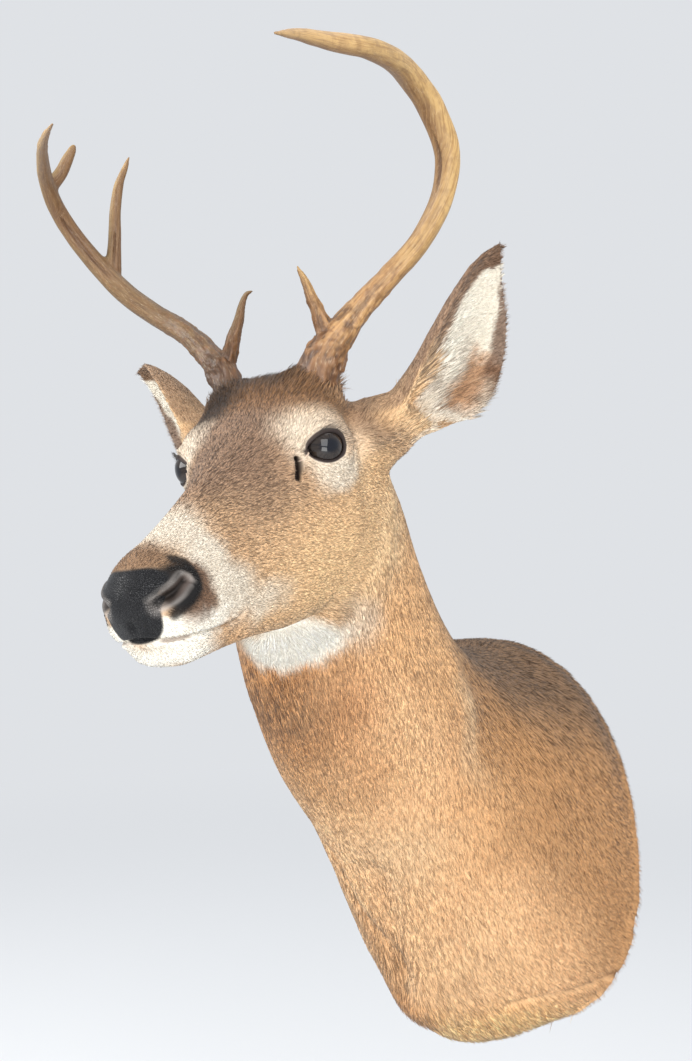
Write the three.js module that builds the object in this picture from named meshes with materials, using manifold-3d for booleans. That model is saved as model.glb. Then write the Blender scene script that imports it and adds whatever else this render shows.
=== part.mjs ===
// A life-size shoulder mount of a white-tailed deer buck, built on a plywood backboard that hangs on a wall.
// Millimetres. +Z is up and the wall is the plane Y = 0: the deer faces -Y, and its left side is +X.
// The origin is the middle of the backboard's back face.
import * as THREE from "three";
import { mergeVertices } from "three/addons/utils/BufferGeometryUtils.js";
import Module from "manifold-3d";

const wasm = await Module();
wasm.setup();

const GAP = 0.3; // clear space between neighbouring pieces
const vec = (x, y, z) => new THREE.Vector3(x, y, z);

// ---------------------------------------------------------------- driving dimensions

// The backboard lies inside the edge of the hide by its inset, and stands proud of the hide towards the wall.
const BOARD = { thickness: 18, inset: 17, proud: 1.2, around: 64 };

// The hanger: a steel plate let into the board over a slot, with a keyhole that narrows upwards.
const HANGER = { z: 120, width: 62, height: 26, thickness: 1.6, rebate: 3, clearance: 1 };
const HANGER_SLOT = { width: 34, height: 16, depth: 11 };
const KEYHOLE = [[-11, -6], [11, -6], [0, 7]];

// The head's own frame: x to its left, y backwards, z up, with its origin midway between the eyes.
const HEAD_CENTRE = vec(69, -459, 344);
const HEAD_TURN = { yaw: 18.9, pitchDown: 18.9, roll: 5.3 }; // degrees

const EYE = { radius: 17, side: 49.5, forward: -3, height: 1 };
const ORBIT = { radius: 23, side: 43.5, forward: -10, height: 4 }; // the rim of bone and lid round each eye

// An ear's leaf: the head's flesh covers its root, it thins towards the tip by its taper, and its fold lies
// behind the axis by a share of the curl's radius.
const EAR = { length: 172, width: 112, thickness: 5.5, taper: 0.35, setBack: 0.6, root: 36 };
const EAR_RINGS = 12;
const EAR_ACROSS = 8;
const EAR_BASE = { forward: -86, side: 58, height: 2 };
const EAR_BUTT = { forward: -80, side: 44, height: -5, radius: 32 };

// Trunk and neck, as cross-sections that fan round the nape from the wall up to the throat.
// centre: [x, y, z] of the section; lean: degrees that its normal rises from level; turn: degrees it turns
// left; half: half width; back: reach towards the spine; front: reach towards the breast; square and keel: how
// boxy its spine side and breast side are, where 2 is an ellipse; egg: share by which the breast side is wider.
const NUMBERS = ["lean", "turn", "half", "back", "front", "square", "keel", "egg"];
const TRUNK = [
  [[0, 0, -20], 0, 0, 179, 223, 202, 2.3, 2.2, 0.06],
  [[0, -45, -14], 4, 0, 174, 220, 217, 2.25, 1.75, -0.08],
  [[0, -95, 8], 14, 0, 158, 200, 197, 2.1, 1.6, -0.16],
  [[3, -145, 44], 28, 2, 140, 174, 128, 2.1, 1.85, -0.16],
  [[6, -195, 90], 40, 4, 118, 141, 104, 2.1, 2, -0.12],
  [[12, -240, 142], 50, 7, 99, 110, 112, 2.1, 2.1, -0.04],
  [[20, -282, 200], 58, 10, 85, 92, 120, 2.1, 2.1, 0],
  [[28, -318, 258], 60, 13, 76, 82, 125, 2.1, 2.1, 0],
  [[38, -350, 312], 56, 16, 68, 76, 112, 2.1, 2.1, -0.03],
  [[46, -384, 350], 46, 18, 61, 54, 79, 2.1, 2.1, -0.06],
].map(([centre, ...values]) => NUMBERS.reduce((s, name, i) => ({ ...s, [name]: values[i] }), { centre }));
const TRUNK_AROUND = 32;
const TRUNK_PER_SPAN = 3;

// The head's profiles from its back to its nose, each a list of [distance in front of the eyes, value].
const HEAD = {
  top: [
    [-104, 30], [-90, 44], [-60, 56], [-38, 57], [0, 41], [50, 18],
    [100, -2], [150, -17], [172, -23], [184, -31], [191, -42],
  ],
  bottom: [
    [-104, -62], [-85, -100], [-55, -120], [0, -119], [50, -112], [100, -102],
    [150, -96], [164, -92], [177, -82], [186, -70], [191, -58],
  ],
  browWidth: [
    [-104, 34], [-80, 44], [-45, 52], [-15, 55], [10, 45], [40, 27],
    [100, 15], [150, 15], [175, 16], [186, 12], [191, 5],
  ],
  browDrop: [[-104, 16], [-60, 18], [-15, 20], [30, 15], [100, 10], [150, 9], [180, 7], [191, 3]],
  cheekWidth: [
    [-104, 40], [-70, 60], [-25, 64], [0, 58], [20, 51], [50, 40], [80, 33],
    [110, 29], [150, 29], [170, 27], [182, 22], [191, 8],
  ],
  cheekLevel: [[-104, -10], [-50, -14], [0, -12], [50, -28], [100, -42], [150, -47], [180, -49], [191, -50]],
  jawWidth: [
    [-104, 30], [-70, 46], [-30, 46], [20, 38], [60, 31],
    [100, 26], [140, 24], [162, 22], [178, 18], [191, 6],
  ],
  jawRise: [[-104, 18], [-40, 12], [20, 7], [60, 5], [100, 6], [150, 10], [180, 9], [191, 3]],
};
const HEAD_REACH = { from: -104, to: 191 };
const HEAD_AROUND = 28;
const HEAD_STEP = 10.5;
const HEAD_EASE = 0.45; // how much closer its sections lie towards its ends, from 0 to 1

// The antlers, along the head's axes. A beam has the points of its middle line, its radii by share of its
// length, and the shares at which it is parted; a tine has points and radii.
const LEFT_BEAM = {
  points: [
    [-50, 36, 40],
    [-58, 52, 70],
    [-79, 83, 100],
    [-92, 140, 152],
    [-78, 155, 209],
    [-43, 146, 232],
    [6, 143, 232],
    [66, 123, 229],
    [126, 119, 216],
  ],
  radii: [
    [0, 16], [0.08, 14.5], [0.17, 11.5], [0.3, 9.8], [0.5, 9],
    [0.68, 9], [0.8, 6.4], [0.92, 3.4], [1, 1.5],
  ],
  cuts: [0.14, 0.36, 0.56, 0.77],
};
const RIGHT_BEAM = {
  points: [
    [-50, -34, 42],
    [-62, -48, 76],
    [-84, -82, 106],
    [-87, -132, 156],
    [-72, -154, 213],
    [-40, -144, 240],
    [2, -112, 240],
    [50, -75, 231],
    [100, -34, 220],
  ],
  radii: [[0, 16], [0.08, 14], [0.17, 10.8], [0.35, 9.3], [0.5, 8], [0.62, 6.8], [0.85, 4.6], [1, 1.5]],
  cuts: [0.16, 0.42, 0.62, 0.81],
};
const TINE_RADII = [[0, 8.5], [0.3, 7], [0.7, 4.5], [1, 1.4]];
const SMALL_TINE_RADII = [[0, 7.5], [0.5, 5], [1, 1.6]];
const TINES = {
  left_brow: {
    points: [[-62, 52, 74], [-56, 50, 96], [-47, 46, 114], [-41, 45, 130]],
    radii: SMALL_TINE_RADII,
    beam: LEFT_BEAM,
  },
  right_brow: {
    points: [[-62, -44, 78], [-61, -28, 92], [-58, -12, 107], [-55, 1, 123]],
    radii: SMALL_TINE_RADII,
    beam: RIGHT_BEAM,
  },
  right_middle: {
    points: [[-89, -137, 166], [-93, -132, 190], [-96, -118, 222], [-96, -100, 254]],
    radii: TINE_RADII,
    beam: RIGHT_BEAM,
  },
  right_end: {
    points: [[-50, -151, 226], [-55, -144, 240], [-60, -134, 251], [-62, -124, 260]],
    radii: SMALL_TINE_RADII,
    beam: RIGHT_BEAM,
  },
};
const BEAM_LENGTHS = ["base", "beam_lower", "beam_middle", "beam_upper", "beam_tip"];
const BURR = { height: 2.5, along: 30, width: 9 }; // the ring of bone round a beam's root

// The cuts that part the flesh, as a point on each plane and the way that it faces.
const NAPE = [-148, 0, 30]; // along the head's axes
const THROAT = [-20, 0, -112];
const COLLAR = { point: [0, -150, 215], faces: [0, -0.652, 0.758] };
const BREAST = { point: [0, -120, -90], faces: [0, -0.8, -0.6] };
const MUZZLE_FROM = 88;
const JAW = { point: [119, 0, -75], faces: [-0.11, 0, 1] };

// ---------------------------------------------------------------- helpers

/** A smooth function through knots [[x, y], ...] that never overshoots them (monotone cubic). */
function profile(knots) {
  const slope = knots.slice(1).map(([x, y], i) => (y - knots[i][1]) / (x - knots[i][0]));
  const tangent = knots.map((_, i) => {
    if (i === 0) return slope[0];
    if (i === slope.length) return slope[i - 1];
    const [a, b] = [slope[i - 1], slope[i]];
    return a * b <= 0 ? 0 : (2 * a * b) / (a + b);
  });
  return (x) => {
    let i = 0;
    while (i < slope.length - 1 && x > knots[i + 1][0]) i++;
    const [x0, y0] = knots[i];
    const [x1, y1] = knots[i + 1];
    const h = x1 - x0;
    const t = THREE.MathUtils.clamp((x - x0) / h, 0, 1);
    const [t2, t3] = [t * t, t * t * t];
    const level = (2 * t3 - 3 * t2 + 1) * y0 + (3 * t2 - 2 * t3) * y1;
    return level + (t3 - 2 * t2 + t) * h * tangent[i] + (t3 - t2) * h * tangent[i + 1];
  };
}

/** A closed mesh through rings of equal length, with a fan over each end. */
function loft(rings) {
  const n = rings[0].length;
  const points = rings.flat();
  const ends = [rings[0], rings[rings.length - 1]].map((ring) => {
    const middle = vec(0, 0, 0);
    ring.forEach((p) => middle.addScaledVector(p, 1 / n));
    return points.push(middle) - 1;
  });
  const faces = [];
  for (let r = 0; r < rings.length - 1; r++) {
    for (let i = 0; i < n; i++) {
      const a = r * n + i;
      const b = r * n + ((i + 1) % n);
      faces.push(a, b, b + n, a, b + n, a + n);
    }
  }
  const last = (rings.length - 1) * n;
  for (let i = 0; i < n; i++) {
    const j = (i + 1) % n;
    faces.push(ends[0], j, i, ends[1], last + i, last + j);
  }
  const geometry = new THREE.BufferGeometry().setFromPoints(points);
  geometry.setIndex(faces);
  return geometry;
}

/** A geometry as a manifold-3d solid, turned outside out if its faces point inwards. */
function solid(geometry, matrix) {
  const plain = geometry.clone();
  plain.deleteAttribute("normal");
  plain.deleteAttribute("uv");
  if (matrix) plain.applyMatrix4(matrix);
  const merged = mergeVertices(plain, 1e-3);
  const vertProperties = merged.attributes.position.array;
  const make = (triVerts) => new wasm.Manifold(new wasm.Mesh({ numProp: 3, vertProperties, triVerts }));
  const faces = new Uint32Array(merged.index.array);
  const made = make(faces);
  if (made.volume() > 0) return made;
  for (let i = 0; i < faces.length; i += 3) faces.subarray(i, i + 3).reverse();
  return make(faces);
}

/** The part of a solid on the side of a plane that its normal points to, less half the gap. */
function side(whole, normal, point) {
  const n = normal.clone().normalize();
  return whole.trimByPlane(n.toArray(), n.dot(point) + GAP / 2);
}

/** The largest piece of a solid, without the slivers that a cut can leave. */
const largest = (made) => made.decompose().reduce((a, b) => (a.volume() > b.volume() ? a : b));

/** [the part ahead of a plane, the part behind it], with the gap between them. */
function split(whole, normal, point) {
  return [normal, normal.clone().negate()].map((n) => largest(side(whole, n, point)));
}

const root = new THREE.Group();

/** Adds a solid to the model as a named mesh. */
function add(name, made, material) {
  const { vertProperties, triVerts, numProp } = made.getMesh();
  const geometry = new THREE.BufferGeometry();
  const count = vertProperties.length / numProp;
  const position = new Float32Array(count * 3);
  for (let i = 0; i < count; i++) {
    const start = i * numProp;
    position.set(vertProperties.subarray(start, start + 3), i * 3);
  }
  geometry.setAttribute("position", new THREE.BufferAttribute(position, 3));
  geometry.setIndex(new THREE.BufferAttribute(triVerts, 1));
  geometry.computeVertexNormals();
  const mesh = new THREE.Mesh(geometry, material);
  mesh.name = name;
  root.add(mesh);
}

/** A plain finish, with its colour, how rough it is and how much of a metal. */
function finish(color, roughness, metalness = 0) {
  return new THREE.MeshStandardMaterial({ color, roughness, metalness });
}

const COAT = finish(0xb08355, 0.85);
const EAR_COAT = finish(0x8d7358, 0.85);
const ANTLER = finish(0xa67c45, 0.5);
const GLASS = finish(0x1d1712, 0.08);
const PLYWOOD = finish(0xc9a678, 0.75);
const STEEL = finish(0x9da1a4, 0.4, 0.9);

const radians = THREE.MathUtils.degToRad;
const headMatrix = new THREE.Matrix4()
  .makeRotationFromEuler(
    new THREE.Euler(radians(HEAD_TURN.pitchDown), radians(-HEAD_TURN.roll), radians(HEAD_TURN.yaw), "ZXY"),
  )
  .setPosition(HEAD_CENTRE);
/** A point given in the head's terms, in world space. */
const onHead = (forward, left, up) => vec(left, -forward, up).applyMatrix4(headMatrix);
/** A direction given in the head's terms, in world space. */
const headWay = (forward, left, up) => vec(left, -forward, up).transformDirection(headMatrix);

// ---------------------------------------------------------------- trunk and neck

/** A section of the trunk: an egg-shaped superellipse in its own leaning plane. */
function trunkRing(s, count) {
  const lean = radians(s.lean);
  const turn = radians(s.turn);
  const across = vec(Math.cos(turn), Math.sin(turn), 0);
  const normal = vec(Math.sin(turn) * Math.cos(lean), -Math.cos(turn) * Math.cos(lean), Math.sin(lean));
  const up = across.clone().cross(normal).negate();
  const ring = [];
  for (let i = 0; i < count; i++) {
    const angle = (i / count) * 2 * Math.PI;
    const [c, sn] = [Math.cos(angle), Math.sin(angle)];
    const power = 2 / (sn > 0 ? s.square : s.keel);
    const x = Math.sign(c) * Math.abs(c) ** power * s.half * (1 - s.egg * sn);
    const y = Math.sign(sn) * Math.abs(sn) ** power * (sn > 0 ? s.back : s.front);
    ring.push(vec(...s.centre).addScaledVector(across, x).addScaledVector(up, y));
  }
  return ring;
}

/** The sections between the named ones, each number on a smooth curve. */
function trunkSections(perSpan) {
  const spans = TRUNK.length - 1;
  const path = new THREE.CatmullRomCurve3(TRUNK.map((s) => vec(...s.centre)), false, "catmullrom", 0.5);
  const tracks = NUMBERS.map((name) => [name, profile(TRUNK.map((s, i) => [i, s[name]]))]);
  return Array.from({ length: spans * perSpan + 1 }, (_, i) => {
    const t = i / perSpan;
    const values = Object.fromEntries(tracks.map(([name, track]) => [name, track(t)]));
    return { centre: path.getPoint(t / spans).toArray(), ...values };
  });
}

const trunk = solid(loft(trunkSections(TRUNK_PER_SPAN).map((s) => trunkRing(s, TRUNK_AROUND))));

// ---------------------------------------------------------------- head

/** A section of the head at a distance in front of the eyes, through its brow, cheek and jaw lines. */
function headRing(tracks, forward, count) {
  const at = (name) => tracks[name](forward);
  const [top, bottom] = [at("top"), at("bottom")];
  const half = [
    [0, top],
    [at("browWidth"), top - at("browDrop")],
    [at("cheekWidth"), at("cheekLevel")],
    [at("jawWidth"), bottom + at("jawRise")],
    [0, bottom],
  ];
  const mirrored = half.slice(1, -1).reverse().map(([x, z]) => [-x, z]);
  const outline = [...half, ...mirrored].map(([x, z]) => vec(x, -forward, z));
  const curve = new THREE.CatmullRomCurve3(outline, true, "centripetal");
  return curve.getSpacedPoints(count).slice(0, count);
}

/** Places along the head, closer together towards its rounded ends. */
function headStations() {
  const { from, to } = HEAD_REACH;
  const count = Math.round((to - from) / HEAD_STEP);
  const { lerp } = THREE.MathUtils;
  return Array.from({ length: count + 1 }, (_, i) => {
    const t = i / count;
    const eased = 0.5 - 0.5 * Math.cos(Math.PI * t);
    return lerp(from, to, lerp(t, eased, HEAD_EASE));
  });
}

const headTracks = Object.fromEntries(Object.entries(HEAD).map(([name, knots]) => [name, profile(knots)]));
const skull = solid(loft(headStations().map((f) => headRing(headTracks, f, HEAD_AROUND))), headMatrix);

// ---------------------------------------------------------------- ears

// Along an ear's length: its width as a share of the widest, and its curl in degrees each side of the fold.
const leafWidth = profile([
  [0, 1], [0.12, 1], [0.3, 1.07], [0.45, 1.06],
  [0.62, 0.94], [0.8, 0.62], [0.93, 0.26], [1, 0.05],
]);
const leafCurl = profile([[0, 140], [0.12, 112], [0.3, 84], [0.45, 72], [0.75, 60], [1, 40]]);

/** An ear: a leaf rolled into a cup round its axis, opening towards `opens`, and bowed away from the axis. */
function ear(base, axis, opens, where, bow) {
  const a = axis.clone().normalize();
  const open = opens.clone().addScaledVector(a, -opens.dot(a)).normalize();
  const across = a.clone().cross(open).multiplyScalar(where);
  const rings = [];
  for (let i = 0; i <= EAR_RINGS; i++) {
    const t = i / EAR_RINGS;
    const halfArc = radians(leafCurl(t));
    const radius = (leafWidth(t) * EAR.width) / 2 / halfArc;
    const sag = Math.sin(Math.PI * t ** 0.8);
    const spine = base.clone().addScaledVector(a, t * EAR.length);
    spine.addScaledVector(open, bow.open * sag - radius * EAR.setBack);
    spine.addScaledVector(across, bow.across * sag);
    const at = (angle, r) => {
      const point = spine.clone().addScaledVector(across, r * Math.sin(angle));
      return point.addScaledVector(open, radius - r * Math.cos(angle));
    };
    const wall = (EAR.thickness / 2) * (1 - EAR.taper * t);
    const angles = Array.from({ length: EAR_ACROSS }, (_, j) => (-1 + (2 * j) / (EAR_ACROSS - 1)) * halfArc);
    const outer = angles.map((angle) => at(angle, radius + wall));
    const inner = angles.reverse().map((angle) => at(angle, radius - Math.min(wall, radius * 0.8)));
    rings.push([...outer, ...inner]);
  }
  return solid(loft(rings));
}

const EARS = {
  left: { where: 1, axis: [-0.14, 0.73, 0.67], opens: [0.38, 0.87, -0.17], bow: { open: 20, across: 23 } },
  right: { where: -1, axis: [-0.45, -0.74, 0.5], opens: [0.5, -0.8, -0.1], bow: { open: 14, across: 6 } },
};
for (const e of Object.values(EARS)) {
  e.base = onHead(EAR_BASE.forward, e.where * EAR_BASE.side, EAR_BASE.height);
  e.way = headWay(...e.axis);
  e.solid = ear(e.base, e.way, headWay(...e.opens), e.where, e.bow);
  e.root = e.base.clone().addScaledVector(e.way, EAR.root);
}

// ---------------------------------------------------------------- antlers

/** A tapered rod along part of a smooth curve, from one share of its length to another. */
function rod(points, radii, { around = 9, step = 15, burr = false, extra = 0, from = 0, to = 1 } = {}) {
  const curve = new THREE.CatmullRomCurve3(points.map((p) => onHead(...p)), false, "centripetal");
  const length = curve.getLength();
  const grain = Math.max(8, Math.round(length / 4));
  const { normals, binormals } = curve.computeFrenetFrames(grain);
  const count = Math.max(3, Math.round((length * (to - from)) / step));
  const thickness = profile(radii);
  const rings = Array.from({ length: count + 1 }, (_, i) => {
    const t = THREE.MathUtils.lerp(from, to, i / count);
    const ring = burr ? BURR.height * Math.exp(-(((t * length - BURR.along) / BURR.width) ** 2)) : 0;
    const radius = thickness(t) + ring + extra;
    const k = Math.round(t * grain);
    return Array.from({ length: around }, (_, j) => {
      const angle = (j / around) * 2 * Math.PI;
      const out = normals[k].clone().multiplyScalar(Math.cos(angle));
      out.addScaledVector(binormals[k], Math.sin(angle));
      return curve.getPointAt(t).addScaledVector(out, radius);
    });
  });
  return { made: solid(loft(rings)), length };
}

/** A beam parted square at shares of its length, from root to tip, each length thicker all round by extra. */
function beamLengths({ points, radii, cuts }, extra = 0) {
  const half = GAP / 2 / rod(points, radii).length;
  const ends = [0, ...cuts, 1];
  return ends.slice(1).map((end, i) => {
    const from = i === 0 ? 0 : ends[i] + half;
    return rod(points, radii, { burr: true, from, to: end === 1 ? 1 : end - half, extra }).made;
  });
}

/** A solid less the room that a beam takes. */
const clearOf = (made, beam) => beamLengths(beam, GAP).reduce((rest, length) => rest.subtract(length), made);

/** A tine that springs from a beam. */
function tine({ points, radii, beam }) {
  return largest(clearOf(rod(points, radii, { around: 8, step: 12 }).made, beam));
}

// ---------------------------------------------------------------- joining and parting the flesh

/** A ball on the head, on its left (1) or its right (-1). */
function ball({ forward, side: away, height, radius }, where, [around, down]) {
  const geometry = new THREE.SphereGeometry(radius, around, down);
  return solid(geometry, new THREE.Matrix4().setPosition(onHead(forward, where * away, height)));
}

/** An eye, or with extra its socket. */
const eyeball = (where, extra = 0) => ball({ ...EYE, radius: EYE.radius + extra }, where, [16, 10]);

/** Trunk, neck and head in one, with the ears' roots and the orbits, and room cut for the eyes and antlers. */
function wholeFlesh() {
  let flesh = trunk.add(skull);
  for (const e of Object.values(EARS)) {
    const butt = ball(EAR_BUTT, e.where, [10, 6]);
    flesh = flesh.add(wasm.Manifold.hull([side(e.solid, e.way.clone().negate(), e.root), butt]));
    flesh = flesh.add(ball(ORBIT, e.where, [14, 9]));
  }
  for (const where of [1, -1]) flesh = flesh.subtract(eyeball(where, GAP));
  return [LEFT_BEAM, RIGHT_BEAM].reduce(clearOf, flesh);
}

const ALL_WIDE = 900; // wider than the mount
const THROUGH = 30; // deeper than any cut goes

/** Parts the flesh into its named nodes and adds them. */
function addFlesh() {
  const room = boardShape().map((p) => p.clone().multiplyScalar(1 + GAP / TRUNK[0].half));
  const pocket = slab(room, -BOARD.thickness - GAP, THROUGH);
  const behind = slab(rectangle(0, 0, ALL_WIDE, ALL_WIDE), -BOARD.proud, THROUGH);
  const body = wholeFlesh().subtract(pocket).subtract(behind);
  const throat = onHead(...THROAT);
  const [headPart, rest] = split(body, throat.clone().sub(onHead(...NAPE)).cross(headWay(0, 1, 0)), throat);
  const [neck, shoulders] = split(rest, vec(...COLLAR.faces), vec(...COLLAR.point));
  const [brisket, upper] = split(shoulders, vec(...BREAST.faces), vec(...BREAST.point));
  const [left, right] = split(upper, vec(1, 0, 0), vec(0, 0, 0));
  const [muzzle, head] = split(headPart, headWay(1, 0, 0), onHead(MUZZLE_FROM, 0, 0));
  const [upperMuzzle, jaw] = split(muzzle, headWay(...JAW.faces), onHead(...JAW.point));
  const trunkParts = { neck, brisket, shoulder_left: left, shoulder_right: right };
  const headParts = { head, muzzle: upperMuzzle, lower_jaw: jaw };
  for (const [name, made] of Object.entries({ ...trunkParts, ...headParts })) add(name, made, COAT);
  for (const [name, e] of Object.entries(EARS)) add("ear_" + name, side(e.solid, e.way, e.root), EAR_COAT);
}

// ---------------------------------------------------------------- backboard

/** The backboard's outline: the trunk's first section, drawn in by the hide's width. */
function boardShape() {
  const drawnIn = { ...TRUNK[0] };
  for (const reach of ["half", "back", "front"]) drawnIn[reach] -= BOARD.inset;
  return trunkRing(drawnIn, BOARD.around).map((p) => new THREE.Vector2(p.x, p.z));
}

/** A flat outline in the X-Z plane made solid from y = front to y = back. */
function slab(points, front, back) {
  const shape = new THREE.Shape(points);
  const geometry = new THREE.ExtrudeGeometry(shape, { depth: back - front, bevelEnabled: false });
  return solid(geometry, new THREE.Matrix4().makeRotationX(Math.PI / 2).setPosition(0, back, 0));
}

/** A rectangle in the X-Z plane, from its middle. */
function rectangle(x, z, width, height) {
  const corners = [[-1, -1], [1, -1], [1, 1], [-1, 1]];
  return corners.map(([a, b]) => new THREE.Vector2(x + (a * width) / 2, z + (b * height) / 2));
}

/** Adds the board, less the rebate and slot for its hanger, and the hanger's plate with its keyhole. */
function addBackboard() {
  const { z, width, height, thickness, rebate, clearance } = HANGER;
  const recess = slab(rectangle(0, z, width + clearance, height + clearance), -rebate, THROUGH);
  const slot = slab(rectangle(0, z, HANGER_SLOT.width, HANGER_SLOT.height), -HANGER_SLOT.depth, THROUGH);
  add("backboard", slab(boardShape(), -BOARD.thickness, 0).subtract(recess).subtract(slot), PLYWOOD);
  const keyhole = KEYHOLE.map(([x, up]) => new THREE.Vector2(x, up + z));
  const plate = slab(rectangle(0, z, width, height), -rebate + GAP, -rebate + GAP + thickness);
  add("hanger_plate", plate.subtract(slab(keyhole, -THROUGH, THROUGH)), STEEL);
}

/** Adds the eyes, and the antlers in lengths with their tines. */
function addEyesAndAntlers() {
  const sides = { left: [1, LEFT_BEAM], right: [-1, RIGHT_BEAM] };
  for (const [name, [where, beam]] of Object.entries(sides)) {
    add("eye_" + name, eyeball(where), GLASS);
    beamLengths(beam).forEach((made, i) => add("antler_" + name + "_" + BEAM_LENGTHS[i], made, ANTLER));
  }
  for (const [name, made] of Object.entries(TINES)) add("antler_" + name + "_tine", tine(made), ANTLER);
}

addBackboard();
addFlesh();
addEyesAndAntlers();

export default root;
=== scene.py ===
"""A white-tailed buck's shoulder mount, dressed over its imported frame.

One hide covers the shoulders, neck, head and ears. It is the frame's flesh fused into one closed
skin, shaped with lids, nostrils, lips and folds, and drawn in by the depth of the coat. Short locks
of hair grow on it along the lie of the coat, coloured by the same markings as the hide. The antlers,
the glass eyes, the plywood backboard and its steel hanger are pieces of their own.

Places on the head are given in millimetres as (forward, left, up) from the middle of the skull, and
places on the body in millimetres as (x, y, z) from the middle of the wall face.
"""

from __future__ import annotations

import logging
import math
from dataclasses import dataclass, field
from enum import Enum
from typing import Callable, Iterable, Sequence

import bmesh
import bpy
import numpy as np
from mathutils import Matrix, Vector

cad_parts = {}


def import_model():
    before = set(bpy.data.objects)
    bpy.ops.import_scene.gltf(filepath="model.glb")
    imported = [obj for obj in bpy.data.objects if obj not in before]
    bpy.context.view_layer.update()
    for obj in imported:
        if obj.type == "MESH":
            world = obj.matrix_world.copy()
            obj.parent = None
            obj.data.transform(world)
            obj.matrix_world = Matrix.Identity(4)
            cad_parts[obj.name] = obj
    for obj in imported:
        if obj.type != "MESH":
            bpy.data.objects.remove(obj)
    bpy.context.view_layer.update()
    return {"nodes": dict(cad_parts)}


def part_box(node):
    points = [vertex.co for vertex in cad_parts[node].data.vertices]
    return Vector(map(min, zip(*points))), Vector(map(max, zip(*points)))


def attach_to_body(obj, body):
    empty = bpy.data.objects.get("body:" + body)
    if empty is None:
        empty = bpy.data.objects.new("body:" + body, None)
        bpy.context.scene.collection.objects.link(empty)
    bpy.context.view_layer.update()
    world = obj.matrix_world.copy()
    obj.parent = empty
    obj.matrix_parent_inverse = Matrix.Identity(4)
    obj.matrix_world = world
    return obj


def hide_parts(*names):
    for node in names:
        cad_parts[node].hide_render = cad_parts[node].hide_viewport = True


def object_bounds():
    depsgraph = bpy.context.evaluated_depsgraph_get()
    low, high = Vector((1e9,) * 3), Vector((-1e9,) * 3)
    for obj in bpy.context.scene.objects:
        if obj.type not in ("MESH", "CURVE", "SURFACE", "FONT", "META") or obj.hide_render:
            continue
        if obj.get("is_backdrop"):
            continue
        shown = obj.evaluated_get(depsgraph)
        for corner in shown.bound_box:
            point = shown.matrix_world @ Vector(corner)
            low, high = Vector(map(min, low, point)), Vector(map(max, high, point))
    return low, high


LOG = logging.getLogger("deer_mount")
MM = 0.001
BODY = "root"
SEED = 20

Array = np.ndarray
Triple = tuple[float, float, float]

FLESH = (
    *("neck", "brisket", "shoulder_left", "shoulder_right"),
    *("head", "muzzle", "lower_jaw", "ear_left", "ear_right"),
)


class Side(Enum):
    """The deer's own left and right, as the sign of the head's left axis."""

    LEFT = 1
    RIGHT = -1

    @property
    def label(self) -> str:
        """The word used in piece names."""
        return self.name.lower()

    @property
    def mirror(self) -> Triple:
        """Factors that move a place on the head's left to this side."""
        return (1.0, self.value, 1.0)


# --- Numbers over places ---


def step(low: float, high: float, value: Array) -> Array:
    """Rises smoothly from 0 at low to 1 at high.

    Args:
        low: Where the rise starts.
        high: Where the rise ends. It may be below low, and then the step falls.
        value: The values to grade.

    Returns:
        The graded values, from 0 to 1.
    """
    t = np.clip((value - low) / (high - low), 0.0, 1.0)
    return t * t * (3.0 - 2.0 * t)


def unit(vectors: Array) -> Array:
    """Gives each vector a length of 1."""
    return vectors / np.maximum(np.linalg.norm(vectors, axis=-1, keepdims=True), 1e-9)


def grain(places: Array, size: float, seed: int) -> Array:
    """Smooth random values from 0 to 1 over space, the same on each run.

    Args:
        places: Points in metres, as rows of three.
        size: How far apart the values change, in metres.
        seed: Picks the pattern.

    Returns:
        One value for each point.
    """
    cell = places / size
    low = np.floor(cell).astype(np.int64)
    t = cell - low
    t = t * t * (3.0 - 2.0 * t)
    total = np.zeros(len(places))
    for corner in range(8):
        bits = np.array([corner & 1, corner >> 1 & 1, corner >> 2 & 1])
        key = ((low + bits) * np.array([73856093, 19349663, 83492791])).sum(1) + seed * 2654435761
        key = (key ^ (key >> 13)) * 1274126177 & 0xFFFFFFFF
        value = ((key ^ (key >> 16)) & 0xFFFF) / 65535.0
        total += value * np.where(bits == 1, t, 1.0 - t).prod(1)
    return total


def sway(places: Array, size: float, seed: int, amount: float) -> Array:
    """Smooth random values over space, as much below 0 as above it, that span the amount."""
    return (grain(places, size, seed) - 0.5) * amount


def along_line(places: Array, points: Array) -> tuple[Array, Array, Array]:
    """Finds the nearest point of a broken line to each place.

    Args:
        places: Points, as rows of three.
        points: The line's corners, as rows of three.

    Returns:
        The distance to the line, the way along it from 0 to 1, and the nearest points.
    """
    lengths = np.linalg.norm(np.diff(points, axis=0), axis=1)
    reach = np.concatenate([[0.0], np.cumsum(lengths)])
    best = np.full(len(places), np.inf)
    way = np.zeros(len(places))
    nearest = np.zeros_like(places)
    for index, length in enumerate(lengths):
        run = points[index + 1] - points[index]
        t = np.clip((places - points[index]) @ run / length**2, 0.0, 1.0)
        foot = points[index] + t[:, None] * run
        gap = np.linalg.norm(places - foot, axis=1)
        closer = gap < best
        best = np.where(closer, gap, best)
        way = np.where(closer, reach[index] + t * length, way)
        nearest = np.where(closer[:, None], foot, nearest)
    return best, way / reach[-1], nearest


def ahead_along(line: Array, way: Array) -> Array:
    """The direction of a broken line at each share of its length.

    Args:
        line: The line's corners, as rows of three.
        way: Shares of its length, from 0 to 1.

    Returns:
        One direction for each share.
    """
    lengths = np.linalg.norm(np.diff(line, axis=0), axis=1)
    knots = np.concatenate([[0.0], np.cumsum(lengths)]) / lengths.sum()
    slope = unit(np.gradient(line, axis=0))
    return unit(np.stack([np.interp(way, knots, slope[:, i]) for i in range(3)], axis=1))


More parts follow.
